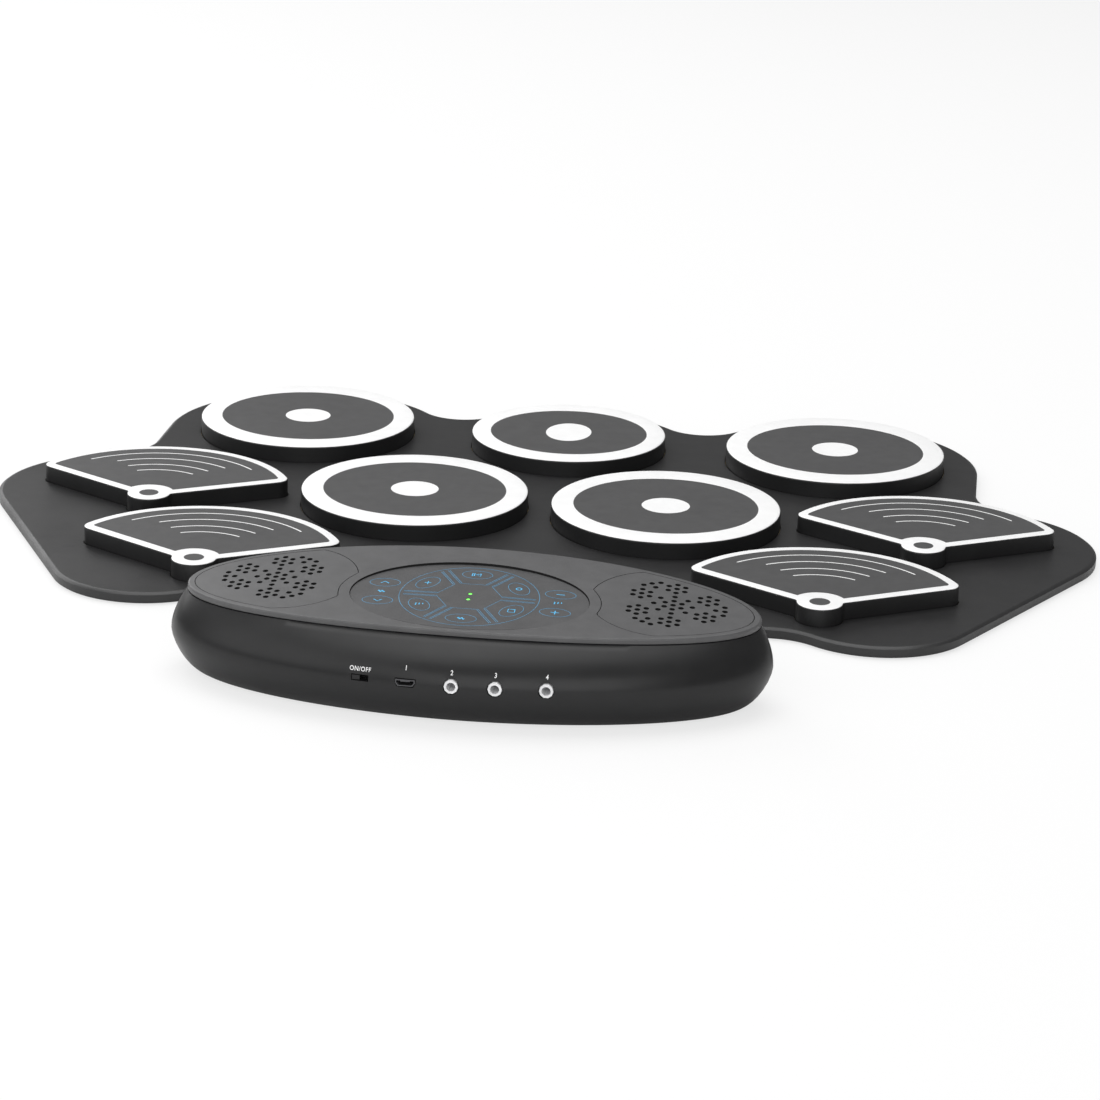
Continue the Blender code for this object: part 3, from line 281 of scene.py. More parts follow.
def shader_of(name, colour, roughness, metallic=0.0, specular=0.5):
    """A material with one Principled shader."""
    made = bpy.data.materials.new(name)
    made.use_nodes = True
    shader = made.node_tree.nodes["Principled BSDF"]
    shader.inputs["Base Color"].default_value = (*colour, 1)
    shader.inputs["Roughness"].default_value = roughness
    shader.inputs["Metallic"].default_value = metallic
    shader.inputs["Specular IOR Level"].default_value = specular
    return made


def glowing(name, colour, roughness, strength):
    """A lit material."""
    made = shader_of(name, colour, roughness)
    shader = made.node_tree.nodes["Principled BSDF"]
    shader.inputs["Emission Color"].default_value = (*colour, 1)
    shader.inputs["Emission Strength"].default_value = strength
    return made


def add_noise(tree, scale, detail):
    """Noise over the object's own coordinates."""
    place = tree.nodes.new("ShaderNodeTexCoord")
    noise = tree.nodes.new("ShaderNodeTexNoise")
    noise.inputs["Scale"].default_value = scale
    noise.inputs["Detail"].default_value = detail
    tree.links.new(place.outputs["Object"], noise.inputs["Vector"])
    return noise.outputs["Fac"]


def ranged(tree, noise, low, high):
    """The middle range of a noise, mapped to a new range."""
    ramp = tree.nodes.new("ShaderNodeMapRange")
    ramp.inputs["From Min"].default_value = NOISE_LOW
    ramp.inputs["From Max"].default_value = NOISE_HIGH
    ramp.inputs["To Min"].default_value = low
    ramp.inputs["To Max"].default_value = high
    tree.links.new(noise, ramp.inputs["Value"])
    return ramp.outputs["Result"]


def surface(name, colour, roughness, grain=900, bump=0.00003, mottle=0.08, **more):
    """A material with fine moulded grain, slow changes of gloss and a slight mottle in its colour."""
    made = shader_of(name, colour, roughness, **more)
    tree = made.node_tree
    shader = tree.nodes["Principled BSDF"]
    slow = add_noise(tree, *GLOSS_NOISE)
    gloss = ranged(tree, slow, roughness * (1 - GLOSS_VARY), roughness * (1 + GLOSS_VARY))
    tree.links.new(gloss, shader.inputs["Roughness"])
    tint = tree.nodes.new("ShaderNodeMix")
    tint.data_type = "RGBA"
    tint.inputs["A"].default_value = (*[c * (1 - mottle) for c in colour], 1)
    tint.inputs["B"].default_value = (*[min(1, c * (1 + mottle)) for c in colour], 1)
    tree.links.new(ranged(tree, add_noise(tree, *TINT_NOISE), 0, 1), tint.inputs["Factor"])
    tree.links.new(tint.outputs["Result"], shader.inputs["Base Color"])
    relief = tree.nodes.new("ShaderNodeBump")
    relief.inputs["Strength"].default_value = BUMP_STRENGTH
    relief.inputs["Distance"].default_value = bump
    tree.links.new(add_noise(tree, grain, GRAIN_DETAIL), relief.inputs["Height"])
    tree.links.new(relief.outputs["Normal"], shader.inputs["Normal"])
    return made


def add_piece(name, data, materials, body="root", angle=SHARP_ANGLE, placed=None):
    """Makes an object of a bmesh, smooth but for its sharp edges, that rides on its body.

    placed is the frame that the bmesh is drawn in. A cutter has no body and no slot."""
    mesh = bpy.data.meshes.new(name)
    if placed is not None:
        bmesh.ops.transform(data, matrix=placed, verts=data.verts)
    data.to_mesh(mesh)
    data.free()
    for material in materials:
        mesh.materials.append(material)
    mesh.shade_smooth()
    mesh.set_sharp_from_angle(angle=angle)
    made = bpy.data.objects.new(name, mesh)
    bpy.context.scene.collection.objects.link(made)
    if body:
        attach(made, body)
    return made


def bake(piece):
    """Puts a piece's modifiers into its mesh."""
    evaluated = piece.evaluated_get(bpy.context.evaluated_depsgraph_get())
    mesh = bpy.data.meshes.new_from_object(evaluated)
    piece.modifiers.clear()
    old = piece.data
    piece.data = mesh
    bpy.data.meshes.remove(old)


def carve(piece, data, placed=None, inside=None):
    """Cuts a piece with a throwaway cutter, and shades it smooth again.

    inside is the look of the cut's walls, where it isn't the piece's own, such as a near-black for
    painted shade in holes and recesses."""
    cutter = add_piece("cutter", data, [inside] if inside else [], body=None, placed=placed)
    modifier = piece.modifiers.new("cut", "BOOLEAN")
    modifier.operation = "DIFFERENCE"
    modifier.solver = "EXACT"
    modifier.material_mode = "TRANSFER" if inside else "INDEX"
    modifier.object = cutter
    bake(piece)
    bpy.data.objects.remove(cutter, do_unlink=True)
    piece.data.shade_smooth()
    piece.data.set_sharp_from_angle(angle=SHARP_ANGLE)


def settle(piece):
    """Lets the large flat faces of a piece set the shading along their edges."""
    piece.modifiers.new("normals", "WEIGHTED_NORMAL").keep_sharp = True
    bake(piece)


def loft(rings, looks=None):
    """A closed skin through rings of equally many points, with a cap at each end.

    looks gives the material index of each band, and then that of the upper cap."""
    made = bmesh.new()
    loops = [[made.verts.new(point) for point in ring] for ring in rings]
    looks = looks or [0] * len(rings)
    for look, lower, upper in zip(looks, loops, loops[1:]):
        for here, (a, b) in enumerate(zip(lower, lower[1:] + lower[:1])):
            face = made.faces.new((a, b, upper[(here + 1) % len(upper)], upper[here]))
            face.material_index = look
    made.faces.new(loops[0])
    made.faces.new(loops[-1]).material_index = looks[-1]
    bmesh.ops.recalc_face_normals(made, faces=made.faces)
    return made


def level(outline, height):
    """An outline in plan, put at a height."""
    return [(x, y, height) for x, y in outline]


def prism(outline, low, high):
    """A solid with the same outline from one height to another."""
    return loft([level(outline, low), level(outline, high)])


def along_y(outline, start, end):
    """A solid with an outline in X and Z, from one Y to another."""
    return loft([[(x, y, z) for x, z in outline] for y in (start, end)])


def painted(data, look):
    """Gives all faces of a bmesh one material index."""
    for face in data.faces:
        face.material_index = look
    return data


def face_up(data):
    """Turns the faces of a thin print upwards."""
    for face in data.faces:
        face.normal_update()
        if face.normal.z < 0:
            face.normal_flip()
    return data


def sheet_of(outline, height):
    """A thin print: one flat face."""
    made = bmesh.new()
    made.faces.new([made.verts.new(point) for point in level(outline, height)])
    return face_up(made)


def stroke(path, width, height, closed=False):
    """A flat printed line along a path in plan."""
    made = bmesh.new()
    count = len(path)
    rows = []
    for here, (x, y) in enumerate(path):
        before = path[(here - 1) % count] if closed or here else path[here]
        after = path[(here + 1) % count] if closed or here + 1 < count else path[here]
        dx, dy = after[0] - before[0], after[1] - before[1]
        size = math.hypot(dx, dy) or 1
        nx, ny = -dy / size * width / 2, dx / size * width / 2
        rows.append([made.verts.new((x + side * nx, y + side * ny, height)) for side in (-1, 1)])
    pairs = list(zip(rows, rows[1:])) + ([(rows[-1], rows[0])] if closed else [])
    for (a, b), (c, d) in pairs:
        made.faces.new((a, c, d, b))
    return made


def joined(meshes):
    """Several bmeshes as one."""
    made = bmesh.new()
    for each in meshes:
        shell = bpy.data.meshes.new("shell")
        each.to_mesh(shell)
        each.free()
        made.from_mesh(shell)
        bpy.data.meshes.remove(shell)
    return made


def ellipse(half_x, half_y, sides=ROUND_SIDES, centre=(0, 0)):
    """Outline of an ellipse, from its +X end."""
    turns = [2 * math.pi * step / sides for step in range(sides)]
    return [(centre[0] + half_x * math.cos(a), centre[1] + half_y * math.sin(a)) for a in turns]


def circle(radius, sides=ROUND_SIDES, centre=(0, 0)):
    """Outline of a circle, from its +X end."""
    return ellipse(radius, radius, sides, centre)


def arc(radius, half_angle, centre, points=ARC_POINTS):
    """Points of an arc that reaches as many degrees to each side of the -Y direction."""
    turns = [math.radians(half_angle * (2 * i / (points - 1) - 1) - 90) for i in range(points)]
    return [(centre[0] + radius * math.cos(a), centre[1] + radius * math.sin(a)) for a in turns]


def superellipse(half_x, half_y, exponent=2):
    """An oval outline, with its points closer together at its +X and -X ends."""
    points = []
    for step in range(BODY_SIDES):
        turn = 2 * math.pi * step / BODY_SIDES
        turn -= END_CROWDING * math.sin(2 * turn)
        across, along = math.cos(turn), math.sin(turn)
        reach = (abs(across) ** exponent + abs(along) ** exponent) ** (-1 / exponent)
        points.append((half_x * across * reach, half_y * along * reach))
    return points


def belt(circles, inset=0.0):
    """Outline that runs anticlockwise round circles in turn, and straight from one to the next.

    A circle is (x, y, radius), and a negative radius bends the outline the other way."""
    circles = [(x, y, max(s - inset, LEAST_RADIUS) if s > 0 else s - inset) for x, y, s in circles]
    normals = []
    for (x0, y0, s0), (x1, y1, s1) in zip(circles, circles[1:] + circles[:1]):
        dx, dy = x1 - x0, y1 - y0
        cosine = max(-1.0, min(1.0, (s1 - s0) / math.hypot(dx, dy)))
        sine = math.sqrt(1 - cosine ** 2)
        normals.append(math.atan2(cosine * dy + sine * dx, cosine * dx - sine * dy))
    points = []
    for (x, y, s), start, end in zip(circles, normals[-1:] + normals[:-1], normals):
        sign = 1 if s > 0 else -1
        sweep = (sign * (end - start)) % (2 * math.pi)
        if sweep > 2 * math.pi - SWEEP_SLACK:
            sweep = 0.0
        count = max(1, round(sweep / ARC_STEP))
        turns = [start + sign * sweep * step / count for step in range(count + 1)]
        points += [(x - s * math.cos(turn), y - s * math.sin(turn)) for turn in turns]
    return points


def mirrored(circles):
    """The circles of a belt on the other side of the middle, in their turn."""
    return [(-x, y, s) for x, y, s in reversed(circles)]


def shrunk(outline, share):
    """An outline drawn in towards its middle."""
    x = sum(point[0] for point in outline) / len(outline)
    y = sum(point[1] for point in outline) / len(outline)
    return [(x + (px - x) * share, y + (py - y) * share) for px, py in outline]


def rounding(radius, turns):
    """How far in and how far down a rounded edge is, at turns in degrees from its side to its top."""
    angles = [math.radians(turn) for turn in turns]
    return [(radius * (1 - math.cos(a)), radius * (1 - math.sin(a))) for a in angles]


def by_fan_side(side, run):
    """A point so far outside the line from a fan's boss along its right side, and so far along it."""
    return FAN_OUT[0] * side + FAN_ALONG[0] * run, FAN_OUT[1] * side + FAN_ALONG[1] * run


def fan_corner_centre():
    """Centre of the corner that touches a fan's right side and its big arc."""
    side = FAN_SIDE_OFFSET - FAN_CORNER
    x, y = by_fan_side(side, 0)
    y += FAN_ARC_OFFSET
    half = x * FAN_ALONG[0] + y * FAN_ALONG[1]
    rest = x ** 2 + y ** 2 - (FAN_RADIUS - FAN_CORNER) ** 2
    return by_fan_side(side, math.sqrt(half ** 2 - rest) - half)


def fan_circles():
    """Fan pad about its round boss: two straight sides, two corners and a big arc towards -Y."""
    side = FAN_SIDE_OFFSET + FAN_FILLET
    run = math.sqrt((FAN_BOSS + FAN_FILLET) ** 2 - side ** 2)
    right = [(*fan_corner_centre(), FAN_CORNER), (*by_fan_side(side, run), -FAN_FILLET)]
    return [(0, 0, FAN_BOSS), *mirrored(right), (0, -FAN_ARC_OFFSET, FAN_RADIUS), *right]


def fan_field():
    """The dark field of a fan pad: inside the white border, and cut back by the white boss."""
    side = FAN_SIDE_OFFSET - FAN_BORDER
    reach = FAN_BOSS + FAN_BORDER / 3
    end_x, end_y = by_fan_side(side, math.sqrt(reach ** 2 - side ** 2))
    notch = arc(reach, math.degrees(math.atan2(end_x, -end_y)), (0, 0), points=NOTCH_POINTS)
    low, far = end_y - NOTCH_DROP, reach + NOTCH_GAP
    below = [(x, y) for x, y in belt(fan_circles(), FAN_BORDER) if y < low and math.hypot(x, y) > far]
    below.sort(key=lambda point: math.atan2(point[0], -point[1] - reach * FIELD_PIVOT))
    return notch + below[::-1]


def disc(radius):
    """Outline of a round pad, as a function of how far in it is drawn."""
    return lambda inset: circle(radius - inset)


def fan(inset):
    """Outline of a fan pad, drawn in."""
    return belt(fan_circles(), inset)


def pad_plan(name):
    """Where a pad's middle or boss is, and its outline as a function of how far in it is drawn."""
    low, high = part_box(name)
    x = (low[0] + high[0]) / 2
    if name.startswith("drum"):
        return x, (low[1] + high[1]) / 2, disc((high[0] - low[0]) / 2)
    return x, high[1] - FAN_BOSS, fan


def pad_rings(outline, ceiling):
    """Rings of a pad from the hollow under it, round its foot and up its wall, to its rounded edge."""
    low = SHEET_TOP - PAD_SINK
    rings = [level(outline(PAD_WALL), ceiling), level(outline(PAD_WALL), low)]
    rings += [level(outline(PAD_FOOT), low), level(outline(0), low + PAD_FOOT)]
    rings.append(level(outline(0), PAD_TOP - PAD_ROUND * PAD_ROUND_START))
    for inset, drop in rounding(PAD_ROUND, (0, 22.5, 45, 67.5, 90)):
        rings.append(level(outline(inset), PAD_TOP - drop))
    return rings


def drum_mesh(name, rings):
    """A round pad: white edge, grey disc and white dot."""
    low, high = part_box(name)
    radius = (high[0] - low[0]) / 2
    dot = MIDDLE_DOT if "middle" in name else (DOT_RADIUS, DOT_RADIUS)
    looks = [WALL] * (len(rings) - 3) + [WHITE, WHITE, WHITE, TOP, WHITE]
    disc_edge = level(ellipse(DISC_WIDE * radius, DISC_DEEP * radius), PAD_TOP)
    return joined([loft(rings + [disc_edge, level(ellipse(*dot), PAD_TOP)], looks)])


def cymbal_mesh(rings):
    """A fan pad: white edge and boss, grey field and eye, and white arcs over the field."""
    pad = loft(rings, [WALL] * (len(rings) - 3) + [WHITE, WHITE, WHITE])
    height = PAD_TOP + PRINT_LIFT
    field = joined([sheet_of(fan_field(), height), sheet_of(circle(FAN_EYE, PRINT_SIDES), height)])
    arcs = [arc(reach, half, (0, -FAN_ARC_CENTRE)) for reach, half in FAN_ARCS]
    lines = joined([stroke(path, FAN_ARC_WIDTH, height + PRINT_LIFT) for path in arcs])
    for printed in (painted(field, TOP), painted(lines, WHITE)):
        bmesh.ops.recalc_face_normals(printed, faces=printed.faces)
    return joined([pad, field, lines])


def foam_under(pad):
    """Name of the foam block under a pad."""
    return "foam_spring_" + pad.replace("_pad", "")


def make_pads(wall, top, white):
    """Nine pads, each with its printed top in the same mesh, and hollow over its foam block."""
    for name in PADS:
        x, y, outline = pad_plan(name)
        rings = pad_rings(outline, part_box(foam_under(name))[1][2] + FOAM_GAP)
        data = drum_mesh(name, rings) if name.startswith("drum") else cymbal_mesh(rings)
        made = add_piece(
            name + "_moulded", data, [wall, top, white], name,
            placed=Matrix.Translation((x, y, 0)),
        )
        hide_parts(name)


def make_foams(foam):
    """A foam block with rounded edges under each pad, on the root body with a mesh of its own; the real
    foam is squeezed as the pad goes down.
    """
    for pad in PADS:
        name = foam_under(pad)
        low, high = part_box(name)
        x, y, outline = pad_plan(pad)
        side = outline(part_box(pad)[1][0] - high[0])
        end = shrunk(side, FOAM_SHRINK)
        rings = [level(end, low[2]), level(side, low[2] + FOAM_ROUND)]
        rings += [level(side, high[2] - FOAM_ROUND), level(end, high[2])]
        made = add_piece(
            name + "_soft", loft(rings), [foam], "root", placed=Matrix.Translation((x, y, 0))
        )
        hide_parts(name)
        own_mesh(made)


def mat_circles(neck_end):
    """Circles that the mat's edge follows: lobes about the front pads, wings, rear corners and neck."""
    middle = MIDDLE_PAD_RADIUS + MIDDLE_MARGIN
    lobe = PAD_RADIUS + MAT_MARGIN
    near, far = middle + SCALLOP_RADIUS, lobe + SCALLOP_RADIUS
    scallop_x = (near ** 2 - far ** 2 + SIDE_PAD_X ** 2) / (2 * SIDE_PAD_X)
    wing_x, wing_y = OUTER_FAN[0] + WING_OUT, OUTER_FAN[1] - WING_FORWARD
    corner_x, corner_y = INNER_FAN[0] + CORNER_OUT, INNER_FAN[1] - CORNER_FORWARD
    fillet_y = MAT_REAR + REAR_FILLET
    fillet_run = math.sqrt((CORNER_RADIUS + REAR_FILLET) ** 2 - (fillet_y - corner_y) ** 2)
    right = [
        (scallop_x, FRONT_Y - math.sqrt(near ** 2 - scallop_x ** 2), -SCALLOP_RADIUS),
        (SIDE_PAD_X, FRONT_Y, lobe),
        (SIDE_PAD_X + lobe + SIDE_FILLET, wing_y - SIDE_FILLET_BACK, -SIDE_FILLET),
        (wing_x, wing_y, WING_RADIUS),
        (corner_x, corner_y, CORNER_RADIUS),
        (corner_x - fillet_run, fillet_y, -REAR_FILLET),
        (NECK_HALF_WIDTH + NECK_FILLET, MAT_REAR + NECK_FILLET, -NECK_FILLET),
        (NECK_HALF_WIDTH - NECK_FILLET, neck_end - NECK_FILLET, NECK_FILLET),
    ]
    return [(0, FRONT_Y, middle), *right, *mirrored(right)]


def make_mat(silicone):
    """The silicone sheet with its rounded rim, hollow over the backing, with a hole for each pad."""
    circles = mat_circles(CONSOLE_Y - BULGE_HALF_DEPTH + NECK_REACH)
    rim = rounding(RIM_ROUND, (90, 60, 30))
    rim[-1] = (0, rim[-1][1])
    rings = [level(belt(circles, inset), drop) for inset, drop in rim]
    rings += [level(belt(circles, inset), SHEET_TOP - drop) for inset, drop in reversed(rim)]
    sheet = add_piece(
        "mat_sheet_moulded", loft(rings), [silicone], "root", angle=MAT_SHARP_ANGLE
    )
    tray = belt(mat_circles(MAT_REAR + 2 * NECK_FILLET), TRAY_INSET)
    carve(sheet, prism(tray, -REACH, TRAY_HEIGHT))
    holes = []
    for name in PADS:
        x, y, outline = pad_plan(name)
        hole = prism(outline(-PAD_CLEARANCE), 0, PAD_TOP)
        bmesh.ops.translate(hole, vec=(x, y, 0), verts=hole.verts)
        holes.append(hole)
    carve(sheet, joined(holes))
    settle(sheet)
    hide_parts("mat_sheet")


def crown(x):
    """Drop of the console's arched top at a distance from its middle."""
    return -x * x / (2 * CROWN_RADIUS)


def crowned(data):
    """Bends a flat solid down towards both ends, after splitting its faces into strips."""
    strip = TOP_HALF_LENGTH / CROWN_STRIPS
    for step in range(-CROWN_STRIPS, CROWN_STRIPS + 1):
        everything = data.verts[:] + data.edges[:] + data.faces[:]
        bmesh.ops.bisect_plane(
            data, geom=everything, dist=1e-7, plane_co=(step * strip, 0, 0), plane_no=(1, 0, 0)
        )
    for vert in data.verts:
        vert.co.z += crown(vert.co.x)
    return data


def rim_height(x, y):
    """Height of the wall's rim, under the arched and tilted cover."""
    top = TOP_HEIGHT - (y - TOP_Y) * math.tan(TOP_TILT) + crown(x)
    return top - COVER_EDGE - RIM_GAP


def wall_plan(rise):
    """Half sizes, middle and exponent of the console's outline, from 0 at its bulge to 1 at its rim."""
    share = rise ** 2
    half_x = BULGE_HALF_LENGTH + (TOP_HALF_LENGTH - BULGE_HALF_LENGTH) * share
    half_y = BULGE_HALF_DEPTH + (TOP_HALF_DEPTH - BULGE_HALF_DEPTH) * share
    exponent = BULGE_EXPONENT + (2 - BULGE_EXPONENT) * share
    return half_x, half_y, CONSOLE_Y - BULGE_SHIFT * share, exponent


def rear_edge(x, rise):
    """Where the rear of the console's outline is, from 0 at its bulge to 1 at its rim."""
    half_x, half_y, centre, exponent = wall_plan(rise)
    return centre + half_y * (1 - abs(x / half_x) ** exponent) ** (1 / exponent)


def rear_wall(x, height):
    """Where the outside of the rear wall is at a height above the bulge, found by halving."""
    low, high = 0.0, 1.0
    for _ in range(HALVINGS):
        rise = (low + high) / 2
        y = rear_edge(x, rise)
        if BULGE_HEIGHT + (rim_height(x, y) - BULGE_HEIGHT) * rise < height:
            low = rise
        else:
            high = rise
    return y


def body_ring(rise, inset=0.0):
    """Ring of the console's wall: rise is -1 at its base, 0 at the bulge and 1 at the rim."""
    half_x, half_y, centre, exponent = wall_plan(max(rise, 0))
    if rise < 0:
        inset += TUCK_UNDER * (1 - (1 - (-rise) ** TUCK_POWER) ** (1 / TUCK_POWER))
    points = []
    for x, y in superellipse(half_x - inset, half_y - inset, exponent):
        end = rim_height(x, y + centre) if rise > 0 else BODY_LIFT
        points.append((x, y + centre, BULGE_HEIGHT + (end - BULGE_HEIGHT) * abs(rise)))
    return points


def port_cutter(outline, x):
    """A cutter through the rear wall, with an outline about the middle of a port."""
    rear = rear_edge(x, 0)
    return along_y([(x + u, PORT_HEIGHT + w) for u, w in outline], rear - REACH / 2, rear + REACH)


def make_body(gloss):
    """The polished tub, cut for the mat's neck, the sockets and the switch."""
    rings = [body_ring(rise) for rise in BODY_RISES]
    rings += [body_ring(rise, BODY_WALL) for rise in INNER_RISES]
    body = add_piece("console_body_moulded", loft(rings), [gloss], "root")
    half = NECK_HALF_WIDTH + NECK_SIDE_GAP
    front = CONSOLE_Y - BULGE_HALF_DEPTH
    start, end = front - REACH, front + NECK_SLOT_DEPTH
    slot = [(-half, start), (half, start), (half, end), (-half, end)]
    cutters = [prism(slot, NECK_SLOT_LOW, SHEET_TOP + GAP)]
    cutters += [port_cutter(circle(JACK_RADIUS + GAP, JACK_SIDES), x) for x in JACKS]
    u, w = USB_HALF[0] + GAP, USB_HALF[1] + GAP
    usb = [(-u, w), (-u, 0), (USB_TAPER - u, -w), (u - USB_TAPER, -w), (u, 0), (u, w)]
    cutters.append(port_cutter(usb, USB_X))
    u, w = SWITCH_HALF
    cutters.append(port_cutter([(-u, -w), (u, -w), (u, w), (-u, w)], SWITCH_X))
    for cutter in cutters:
        carve(body, cutter)
    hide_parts("console_body")


def ray_to_ellipse(start, turn, centre, half_x, half_y):
    """How far a ray in plan goes to reach an ellipse, or infinity where it misses."""
    px, py = (start[0] - centre[0]) / half_x, (start[1] - centre[1]) / half_y
    dx, dy = math.cos(turn) / half_x, math.sin(turn) / half_y
    a, b, c = dx * dx + dy * dy, px * dx + py * dy, px * px + py * py - 1
    if b * b < a * c:
        return math.inf
    root = math.sqrt(b * b - a * c)
    hits = [hit for hit in ((-b - root) / a, (-b + root) / a) if hit > 0]
    return min(hits, default=math.inf)


def grille_outline(side, grow):
    """Plan of a speaker panel: the cover's edge outside, a round lobe inside, cut back by the oval."""
    centre = (SPEAKER_X, SPEAKER_Y)
    lobe_centre = (SPEAKER_X - GRILLE_LOBE_SHIFT, SPEAKER_Y)
    lobe, edge, oval = GRILLE_LOBE_RADIUS + grow, GRILLE_INSET - grow, GRILLE_TOUCH_MARGIN - grow
    points = []
    for step in range(ROUND_SIDES):
        turn = 2 * math.pi * step / ROUND_SIDES
        reach = ray_to_ellipse(centre, turn, (0, 0), TOP_HALF_LENGTH - edge, TOP_HALF_DEPTH - edge)
        if math.cos(turn) < 0:
            reach = min(reach, ray_to_ellipse(centre, turn, lobe_centre, lobe, lobe))
            oval_x, oval_y = TOUCH_HALF_LENGTH + oval, TOUCH_HALF_DEPTH + oval
            reach = min(reach, ray_to_ellipse(centre, turn, (0, TOUCH_BACK), oval_x, oval_y))
        points.append((centre[0] + reach * math.cos(turn), centre[1] + reach * math.sin(turn)))
    return points if side > 0 else [(-x, y) for x, y in reversed(points)]


def polar(reach, degrees):
    """A point in plan, at a distance and a turn."""
    turn = math.radians(degrees)
    return reach * math.cos(turn), reach * math.sin(turn)


def around(middle, radius, count, first):
    """Points on a circle about a middle, from a first turn in degrees."""
    spokes = [polar(radius, first + 360 * step / count) for step in range(count)]
    return [(middle[0] + x, middle[1] + y) for x, y in spokes]


def speaker_holes():
    """Hole centres: seven flowers of seven, a ring of eight between, and three outer groups of four."""
    holes = []
    for middle in around((0, 0), 4 * HOLE_PITCH, 6, 30) + [(0, 0)]:
        holes += [middle, *around(middle, HOLE_PITCH, 6, 30)]
    holes += around((0, 0), 2 * HOLE_PITCH, 8, 0)
    for group in range(3):
        holes += [polar(reach * HOLE_PITCH, 120 * group + swing) for swing, reach in HOLE_GROUP]
    return holes


def make_cover(satin, black):
    """The arched top cover with its rounded edge, speaker pockets and the sunk touch oval, with painted
    shade on the walls of the pockets and of the oval's recess.
    """
    plug = BODY_WALL + PLUG_CLEARANCE
    steps = [(plug, -COVER_DEPTH), (plug, -COVER_EDGE)]
    steps += [(COVER_CHAMFER, -COVER_EDGE), (0, COVER_CHAMFER - COVER_EDGE)]
    steps += [(inset, -drop) for inset, drop in rounding(COVER_ROUND, (0, 30, 60, 90))]
    rings = [level(superellipse(TOP_HALF_LENGTH - i, TOP_HALF_DEPTH - i), z) for i, z in steps]
    cover = add_piece(
        "top_cover_moulded", crowned(loft(rings)), [satin], "root", placed=TOP_FRAME
    )
    depth = GRILLE_THICKNESS + 2 * GAP + CLOTH_ROOM
    for side in (-1, 1):
        pocket = crowned(prism(grille_outline(side, GAP), -depth, REACH))
        # The pocket's walls take the near-black look: painted shade
        carve(cover, pocket, placed=TOP_FRAME, inside=black)
        opening = circle(SPEAKER_OPENING, OPENING_SIDES, (side * SPEAKER_X, SPEAKER_Y))
        carve(cover, prism(opening, -REACH, 0), placed=TOP_FRAME)
    oval = superellipse(TOUCH_HALF_LENGTH + PANEL_CLEARANCE, TOUCH_HALF_DEPTH + PANEL_CLEARANCE)
    recess = crowned(prism(oval, -TOUCH_THICKNESS - GAP, REACH))
    # The recess's walls take the near-black look: painted shade under the panel's edge
    carve(cover, recess, placed=TOUCH_FRAME, inside=black)
    window = superellipse(TOUCH_HALF_LENGTH - WINDOW_MARGIN, TOUCH_HALF_DEPTH - WINDOW_MARGIN)
    carve(cover, prism(window, -REACH, 0), placed=TOUCH_FRAME)
    settle(cover)
    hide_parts("top_cover")


def make_grilles(satin, black):
    """A perforated panel for each speaker, flush with the cover, with painted shade on the walls of its
    holes.
    """
    for side, word in ((-1, "left"), (1, "right")):
        panel = crowned(prism(grille_outline(side, 0), -GRILLE_THICKNESS, 0))
        grille = add_piece(
            f"speaker_grille_{word}_pierced", panel, [satin], "root", placed=TOP_FRAME
        )
        holes = []
        for x, y in speaker_holes():
            place = (side * (SPEAKER_X + x), SPEAKER_Y + y)
            holes.append(prism(circle(HOLE_RADIUS, HOLE_SIDES, place), -REACH, REACH))
        # The holes' walls take the near-black look: painted shade
        carve(grille, joined(holes), placed=TOP_FRAME, inside=black)
        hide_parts(f"speaker_grille_{word}")


def make_touch(film):
    """The oval touch panel, with a hole for each lamp."""
    oval = superellipse(TOUCH_HALF_LENGTH, TOUCH_HALF_DEPTH)
    panel = add_piece(
        "touch_panel_printed", crowned(prism(oval, -TOUCH_THICKNESS, 0)), [film], "root",
        placed=TOUCH_FRAME,
    )
    holes = []
    for y in (-LED_SPACING / 2, LED_SPACING / 2):
        holes.append(prism(circle(LED_RADIUS + LED_CLEARANCE, LED_SIDES, (0, y)), -REACH, REACH))
    carve(panel, joined(holes), placed=TOUCH_FRAME)
    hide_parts("touch_panel")


def make_lamps(green):
    """Lit lenses of the two lamps."""
    for word, y in (("front", -LED_SPACING / 2), ("rear", LED_SPACING / 2)):
        rings = []
        for share, height in LED_PROFILE:
            rings.append(level(circle(LED_RADIUS * share, LED_SIDES, (0, y)), height))
        lamp = add_piece(
            f"lamp_{word}_lens", loft(rings), [green], "root", placed=TOUCH_FRAME
        )
        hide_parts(f"lamp_{word}")


# Generic signs of half size 1, seen from the player's side
SIGNS = {
    "play": [[(-1, -1), (-1, 1), (0.4, 0), (-1, -1)], [(0.9, -1), (0.9, 1)], [(1.5, -1), (1.5, 1)]],
    "up": [[(-1, -0.4), (0, 0.6), (1, -0.4)]],
    "down": [[(-1, 0.4), (0, -0.6), (1, 0.4)]],
    "plus": [[(-1, 0), (1, 0)], [(0, -1), (0, 1)]],
    "minus": [[(-1, 0), (1, 0)]],
    "bars": [[(step, -1), (step, 0.2 + 0.4 * step)] for step in (-1, 0, 1)],
    "wave": [[(step / 6 - 1, 0.7 * math.sin(step * math.pi / 3)) for step in range(13)]],
    "dot": [arc(0.8, 180, (0, 0), points=24)],
    "square": [[(-1, -1), (1, -1), (1, 1), (-1, 1), (-1, -1)]],
}


def sign_at(kind, x, y, size):
    """Strokes of a sign about a point."""
    return [[(x + size * u, y + size * v) for u, v in path] for path in SIGNS[kind]]


def beside(turn, reach, inset):
    """A point at a distance along a ray from the middle, moved sideways off the ray."""
    return (
        reach * math.cos(turn) - inset * math.sin(turn),
        reach * math.sin(turn) + inset * math.cos(turn),
    )


